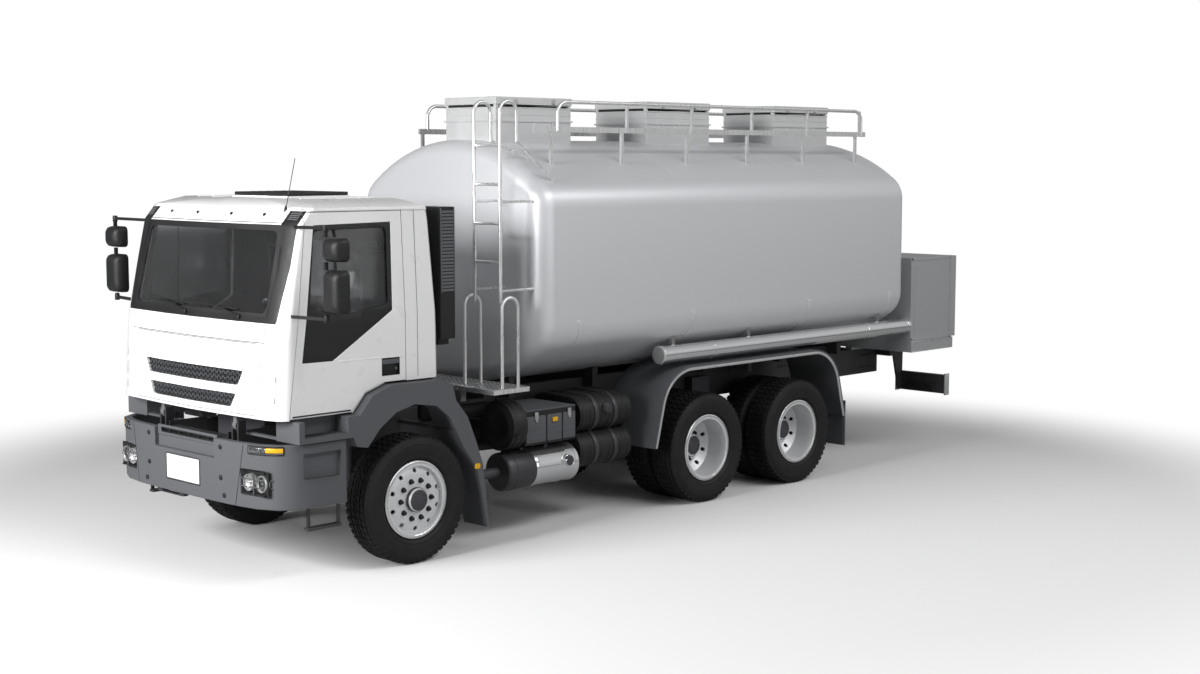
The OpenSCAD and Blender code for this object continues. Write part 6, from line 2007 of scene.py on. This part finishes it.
@dataclass
class SideEquipment:
    """Air intake, muffler, battery boxes and fuel tanks."""

    def build(self) -> None:
        """Makes the side equipment."""
        self.intake()
        self.muffler()
        self.lockers()
        self.fuel()

    def intake(self) -> None:
        """Intake tower with a louvred side, its duct, and the ribbed filter drum."""
        refined("air_cleaner", BLACK_PLASTIC, 0.005, sharp=35)
        slats = Shape()
        for k in range(24):
            z = 2.185 + 0.0278 * k
            slats.prism([(1.1195, z), (1.1265, z - 0.004), (1.1275, z + 0.002), (1.1205, z + 0.016)], "Y",
                        0.357,
                        0.488)
            slats.prism([(0.5015, z), (0.5075, z - 0.004), (0.5085, z + 0.002), (0.5020, z + 0.016)][::1],
                        "X", 0.815,
                        1.105)
        for y in (0.350, 0.489):
            slats.box((1.1190, y, 2.168), (1.1285, y + 0.007, 2.862), 0.002)
        slats.done("intake_louvres", BUMPER_PLASTIC, "chassis", "locker_plastic")
        drum = Shape()
        profile = [(1.0648, 0.0), (1.0648, 0.10), (1.058, 0.12), (1.060, 0.150), (1.066, 0.185),
                   (1.082, 0.207),
                   (1.094, 0.2155), (1.110, 0.2155), (1.112, 0.219), (1.124, 0.219), (1.126, 0.2155),
                   (1.180, 0.2155), (1.182, 0.219), (1.194, 0.219), (1.196, 0.2155), (1.214, 0.2155),
                   (1.2255, 0.208), (1.2265, 0.0)]
        drum.lathe(profile, (1.0, 0, 0.985), "Y", 72)
        for k in range(3):
            a = math.radians(100 + 120 * k)
            x, z = 1.0 + 0.222 * math.cos(a), 0.985 + 0.222 * math.sin(a)
            drum.box((x - 0.016, 1.086, z - 0.010), (x + 0.016, 1.140, z + 0.010), 0.004)
        drum.done("filter_drum", BLACK_PLASTIC, "chassis", "locker_plastic", 0.0, sharp=35)

    def muffler(self) -> None:
        """Bright muffler with rolled seams and straps, a black heat shield and its outlet."""

        def small(face: Vector) -> bool:
            return not (math.hypot(face.x - 1.0, face.z - 0.582) < 0.170 and 1.055 < face.y < 1.905)

        refined("muffler", CAST_DARK, 0.003, "exhaust_pipes", keep=small, sharp=35)
        x, z = 1.0, 0.582
        body = [(1.380, 0.0), (1.380, 0.1600), (1.400, 0.1650), (1.412, 0.1650), (1.416, 0.1685),
                (1.430, 0.1685),
                (1.434, 0.1650), (1.700, 0.1650), (1.704, 0.1690), (1.724, 0.1690), (1.728, 0.1650),
                (1.846, 0.1650), (1.850, 0.1690), (1.872, 0.1700), (1.886, 0.1670), (1.893, 0.1580),
                (1.888, 0.1460), (1.8955, 0.110), (1.900, 0.060), (1.900, 0.0)]
        Shape().lathe(body, (x, 0, z), "Y", 96).done("muffler_body", BRIGHT_STEEL, "chassis", "bright_steel",
                                                     sharp=35)
        cap = [(1.060, 0.0), (1.060, 0.120), (1.064, 0.150), (1.076, 0.1630), (1.090, 0.1665),
               (1.150, 0.1665),
               (1.153, 0.1700), (1.172, 0.1700), (1.175, 0.1665), (1.372, 0.1665), (1.382, 0.1630),
               (1.384, 0.0)]
        Shape().lathe(cap, (x, 0, z), "Y", 96).done("muffler_shield", CHASSIS_BLACK, "chassis",
                                                    "chassis_black",
                                                    sharp=35)
        outlet = Shape().lathe([(x + 0.120, 0.0), (x + 0.120, 0.0485), (x + 0.192, 0.0485),
                                (x + 0.1965, 0.0465),
                                (x + 0.1950, 0.0435), (x + 0.150, 0.0430), (x + 0.145, 0.0)],
                               (0, 1.750, z + 0.040), "X", 40)
        outlet.lathe([(x + 0.150, 0.0485), (x + 0.150, 0.0570), (x + 0.160, 0.0585), (x + 0.166, 0.0570),
                      (x + 0.166, 0.0485), (x + 0.150, 0.0485)], (0, 1.750, z + 0.040), "X", 40)
        outlet.done("muffler_outlet", BRIGHT_STEEL, "chassis", "bright_steel", sharp=35)

    def lockers(self) -> None:
        """Battery boxes with split covers, latches, ribs and an amber marker."""
        refined("side_lockers", BLACK_PLASTIC, 0.010, sharp=35)
        ribs, latches, lamps = Shape(), Shape(), Shape()
        panels = ((1.262, 1.492), (1.508, 1.682), (1.698, 1.848))
        for a, b in panels:
            ribs.prism(rounded(rectangle(a, 0.822, b, 1.052), 0.016, 4), "X", 1.148, 1.1575)
            for k in range(3):
                z = 0.850 + 0.045 * k
                ribs.box((1.156, a + 0.020, z), (1.1605, b - 0.020, z + 0.016), 0.002, 1)
        ribs.box((0.58, 1.256, 1.094), (1.1525, 1.854, 1.106), 0.003)
        for a, b in panels[::2]:
            y = (a + b) / 2
            latches.box((1.155, y - 0.020, 1.020), (1.166, y + 0.020, 1.085), 0.003)
            latches.box((1.160, y - 0.012, 1.000), (1.168, y + 0.012, 1.045), 0.003)
        lamps.prism(rounded(rectangle(1.565, 0.985, 1.625, 1.025), 0.014, 4), "X", 1.157, 1.172)
        ribs.mirrored().done("locker_covers", BUMPER_PLASTIC, "chassis", "locker_plastic", 0.002)
        latches.mirrored().done("locker_latches", ZINC, "chassis", "locker_plastic", sharp=35)
        lamps.mirrored().done("locker_markers", AMBER, "chassis", "glass", 0.004, sharp=50)

    def fuel(self) -> None:
        """Two stacked tanks with rounded ends, raised ribs, straps and a filler cap."""
        refined("fuel_tanks", BLACK_PLASTIC, 0.012, sharp=35)
        bands, straps = Shape(), Shape()
        for z in (0.665, 0.985):
            for y in (1.985, 2.085, 2.225, 2.325, 2.465, 2.560):
                self.ring(bands, z, y - 0.016, y + 0.016, 0.004)
            for y in (2.150, 2.395):
                self.ring(straps, z, y - 0.022, y + 0.022, 0.008)
        cap = [(1.128, 0.0), (1.128, 0.050), (1.142, 0.050), (1.146, 0.044), (1.160, 0.044), (1.166, 0.038),
               (1.166, 0.0)]
        straps.lathe(cap, (0, 2.270, 1.030), "X", 32)
        bands.mirrored().done("tank_ribs", BLACK_PLASTIC, "chassis", "locker_plastic", 0.003, sharp=40)
        straps.mirrored().done("fuel_straps", CHASSIS_BLACK, "chassis", "locker_plastic", 0.001, sharp=40)

    @staticmethod
    def ring(shape: Shape, z: float, low: float, high: float, lift: float) -> None:
        """A band round one stadium-shaped tank."""
        def line(r: float) -> list[tuple[float, float]]:
            return half_round(r, 16, -90, 90, (0.965, z)) + half_round(r, 16, 90, 270, (0.640, z))
        outer, inner = line(0.163 + lift), line(0.161)
        rings = [[(x, y, v) for x, v in points] for y, points in
                 ((low, inner), (low, outer), (high, outer), (high, inner))]
        shape.loft(rings + rings[:1], caps=False)


@dataclass
class Cabinet:
    """The rear cabinet: frame, door, hinges, handle, ribs and deck edge."""

    front: float = 6.890
    rear: float = 7.720
    half: float = 1.222
    low: float = 1.283
    high: float = 2.190

    def build(self) -> None:
        """Makes the cabinet's pieces."""
        refined("cabinet", CABINET_GREY, 0.004)
        refined("cabinet_door", CABINET_GREY, 0.004)
        self.frame_strips()
        self.door()

    def frame_strips(self) -> None:
        """Corner strips, a pressed panel on each side and the deck's bright edge."""
        strips, deck = Shape(), Shape()
        h = self.half
        strips.box((h - 0.002, self.front - 0.001, self.low + 0.012),
                   (h + 0.006, self.front + 0.030, self.high),
                   0.0015, 1)
        strips.box((h - 0.002, self.front, self.high - 0.030),
                   (h + 0.006, self.rear - 0.095, self.high - 0.0005),
                   0.0015, 1)
        strips.box((h - 0.002, self.front, self.low + 0.002),
                   (h + 0.006, self.rear - 0.095, self.low + 0.034),
                   0.0015, 1)
        strips.prism(rounded(rectangle(self.front + 0.075, self.low + 0.090, self.rear - 0.150,
                                       self.high - 0.090),
                             0.030, 5), "X", h - 0.002, h + 0.0022)
        deck.box((1.2375, self.front, self.low - 0.012), (1.2460, self.rear - 0.035, self.low - 0.001),
                 0.0015, 1)
        deck.box((1.2375, self.front, self.low - 0.1175), (1.2460, self.rear - 0.035, self.low - 0.106),
                 0.0015, 1)
        strips.mirrored().done("cabinet_strips", CABINET_GREY, "chassis", "cabinet_grey")
        deck.mirrored().done("deck_edges", TRIM_GREY, "chassis", "bright_steel")

    def door(self) -> None:
        """Beads round the door's two panels, and rows of vents."""
        w, y = self.half - 0.070, self.rear - 0.0042
        panel = Shape()
        for a, b in ((-w + 0.05, -0.03), (0.03, w - 0.05)):
            ring = rounded(rectangle(a, self.low + 0.110, b, self.high - 0.110), 0.03, 5)
            panel.tube([(x, y, z) for x, z in ring], 0.0040, 8, True)
        panel.done("rear_door_beads", CABINET_GREY, "rear_door", "cabinet_grey", sharp=50)
        part = Shape().box((-0.030, -0.004, 0.0), (0.030, 0.004, 0.0035), 0.001, 1)
        vents = Shape()
        data = Repeat(Layout.ROW, 5, 0.40).made(part, CABINET_GREY)
        for k in range(4):
            for x in (-0.80, 0.40):
                turn = Matrix.Rotation(math.radians(-90), 4, "X")
                vents.mesh(data, Matrix.Translation((x, self.rear - 0.0045,
                                                     self.high - 0.180 - 0.022 * k)) @ turn)
        vents.done("rear_door_vents", BLACK_PLASTIC, "rear_door", "cabinet_grey", sharp=30)


# ---- the stage ----

@dataclass
class Stage:
    """Plain pale floor, soft lights and the camera."""

    floor: float = 0.45
    seen: float = 2.0
    near: float = 5.5
    away: float = 8.5

    def build(self) -> None:
        """Makes the floor, world, lamps and camera."""
        self.ground()
        self.world()
        self.lamps()
        self.camera()
        settings = bpy.context.scene.view_settings
        settings.view_transform = "Standard"

    def ground(self) -> None:
        """A floor that keeps the truck's shadow and reads as white to the camera."""
        data = bpy.data.meshes.new("floor")
        shape = bmesh.new()
        bmesh.ops.create_grid(shape, x_segments=2, y_segments=2, size=60.0)
        shape.to_mesh(data)
        shape.free()
        floor = bpy.data.objects.new("floor", data)
        bpy.context.scene.collection.objects.link(floor)
        material = bpy.data.materials.new("floor_paint")
        material.use_nodes = True
        nodes, links = material.node_tree.nodes, material.node_tree.links
        nodes.remove(nodes["Principled BSDF"])
        matt = nodes.new("ShaderNodeBsdfDiffuse")
        path = nodes.new("ShaderNodeLightPath")
        level = nodes.new("ShaderNodeMapRange")
        level.inputs["To Min"].default_value = self.floor
        level.inputs["To Max"].default_value = self.floor * self.seen
        links.new(path.outputs["Is Camera Ray"], level.inputs["Value"])
        links.new(level.outputs["Result"], matt.inputs["Color"])
        coords = nodes.new("ShaderNodeTexCoord")
        reach = nodes.new("ShaderNodeVectorMath")
        reach.operation = "LENGTH"
        links.new(coords.outputs["Object"], reach.inputs[0])
        far = nodes.new("ShaderNodeMapRange")
        far.interpolation_type = "SMOOTHSTEP"
        far.inputs["From Min"].default_value, far.inputs["From Max"].default_value = self.near, self.away
        links.new(reach.outputs["Value"], far.inputs["Value"])
        share = nodes.new("ShaderNodeMath")
        share.operation = "MULTIPLY"
        links.new(far.outputs["Result"], share.inputs[0])
        links.new(path.outputs["Is Camera Ray"], share.inputs[1])
        white = nodes.new("ShaderNodeEmission")
        blend = nodes.new("ShaderNodeMixShader")
        links.new(share.outputs[0], blend.inputs[0])
        links.new(matt.outputs[0], blend.inputs[1])
        links.new(white.outputs[0], blend.inputs[2])
        links.new(blend.outputs[0], nodes["Material Output"].inputs["Surface"])
        data.materials.append(material)

    def world(self) -> None:
        """White to the camera and through glass, dimmer in reflections and as a light."""
        world = bpy.data.worlds.new("studio")
        bpy.context.scene.world = world
        world.use_nodes = True
        nodes, links = world.node_tree.nodes, world.node_tree.links
        ground = nodes["Background"]
        ground.inputs["Color"].default_value = (1, 1, 1, 1)
        path = nodes.new("ShaderNodeLightPath")
        seen = nodes.new("ShaderNodeMath")
        seen.operation = "MAXIMUM"
        links.new(path.outputs["Is Camera Ray"], seen.inputs[0])
        links.new(path.outputs["Is Transmission Ray"], seen.inputs[1])
        coords = nodes.new("ShaderNodeTexCoord")
        parts = nodes.new("ShaderNodeSeparateXYZ")
        links.new(coords.outputs["Generated"], parts.inputs[0])
        band = nodes.new("ShaderNodeValToRGB")
        ramp = band.color_ramp
        for place, level in ((0.0, 0.30), (0.30, 0.42), (0.62, 0.34), (1.0, 0.12)):
            stop = ramp.elements.new(place) if 0 < place < 1 else ramp.elements[0 if place == 0 else -1]
            stop.color = (level, level, level, 1)
        links.new(parts.outputs["Z"], band.inputs["Fac"])
        way = nodes.new("ShaderNodeVectorMath")
        way.operation = "DOT_PRODUCT"
        way.inputs[1].default_value = (0.75, 0.66, 0.0)
        links.new(coords.outputs["Generated"], way.inputs[0])
        turn = nodes.new("ShaderNodeMapRange")
        for key, value in (("From Min", -0.9), ("From Max", 0.9), ("To Min", 0.30), ("To Max", 1.35)):
            turn.inputs[key].default_value = value
        links.new(way.outputs["Value"], turn.inputs["Value"])
        product = nodes.new("ShaderNodeMath")
        product.operation = "MULTIPLY"
        links.new(band.outputs["Color"], product.inputs[0])
        links.new(turn.outputs["Result"], product.inputs[1])
        strength = nodes.new("ShaderNodeMapRange")
        strength.inputs["From Min"].default_value = 0.0
        strength.inputs["From Max"].default_value = 1.0
        links.new(seen.outputs[0], strength.inputs["Value"])
        soft = nodes.new("ShaderNodeMapRange")
        soft.inputs["To Min"].default_value, soft.inputs["To Max"].default_value = 1.0, 0.55
        links.new(path.outputs["Is Diffuse Ray"], soft.inputs["Value"])
        dimmed = nodes.new("ShaderNodeMath")
        dimmed.operation = "MULTIPLY"
        links.new(product.outputs[0], dimmed.inputs[0])
        links.new(soft.outputs["Result"], dimmed.inputs[1])
        links.new(dimmed.outputs[0], strength.inputs["To Min"])
        strength.inputs["To Max"].default_value = 1.02
        links.new(strength.outputs["Result"], ground.inputs["Strength"])

    def lamps(self) -> None:
        """A large key from the front left above, a fill from the side and a long strip over the tank."""
        for name, place, aim, size, power, matt in (
                ("key", (0.3, -14.0, 5.5), (0.0, -4.0, 1.8), (6.0, 4.5), 2050.0, 1.0),
                ("fill", (13.0, 1.0, 4.0), (0.0, 1.0, 1.6), (10.0, 4.0), 150.0, 0.15),
                ("strip", (9.0, 1.5, 9.5), (0.6, 1.0, 2.6), (12.0, 3.0), 620.0, 0.2)):
            data = bpy.data.lights.new(name, "AREA")
            data.shape = "RECTANGLE"
            data.size, data.size_y = size
            data.energy = power
            data.diffuse_factor = matt
            lamp = bpy.data.objects.new(name, data)
            lamp.location = place
            lamp.rotation_euler = (Vector(aim) - Vector(place)).to_track_quat("-Z", "Y").to_euler()
            bpy.context.scene.collection.objects.link(lamp)

    def camera(self) -> None:
        """The camera, a little over eye height at the front left."""
        data = bpy.data.cameras.new("camera")
        data.lens, data.sensor_width = 51.58, 36.0
        camera = bpy.data.objects.new("camera", data)
        turn, rise = math.radians(44.53), math.radians(5.92)
        back = Vector((math.sin(turn) * math.cos(rise), -math.cos(turn) * math.cos(rise), math.sin(rise)))
        camera.location = (11.836, -11.856, 3.259)
        camera.rotation_euler = (-back).to_track_quat("-Z", "Y").to_euler()
        bpy.context.scene.collection.objects.link(camera)
        bpy.context.scene.camera = camera


def wheels() -> list[Wheel]:
    """All wheel ends."""
    made = []
    for side in Side:
        made.append(Wheel(f"front_{side.word}", side, 0.0, 1.080))
        made.append(Wheel(f"mid_{side.word}", side, MID_Y, 0.927, True))
        made.append(Wheel(f"rear_{side.word}", side, REAR_Y, 0.927, True))
    return made


def main() -> None:
    """Builds every sub-assembly and the stage."""
    logging.basicConfig(level=logging.INFO, format="%(message)s")
    skin = Skin()
    for part in [*wheels(), Tank(), TankTop(), Cab(skin), Door(skin, Side.LEFT), Door(skin, Side.RIGHT),
                 GrilleFlap(skin), Bumper(), Fenders(), Chassis(), SideEquipment(), Cabinet()]:
        part.build()
    Stage().build()


if __name__ == "__main__":
    main()
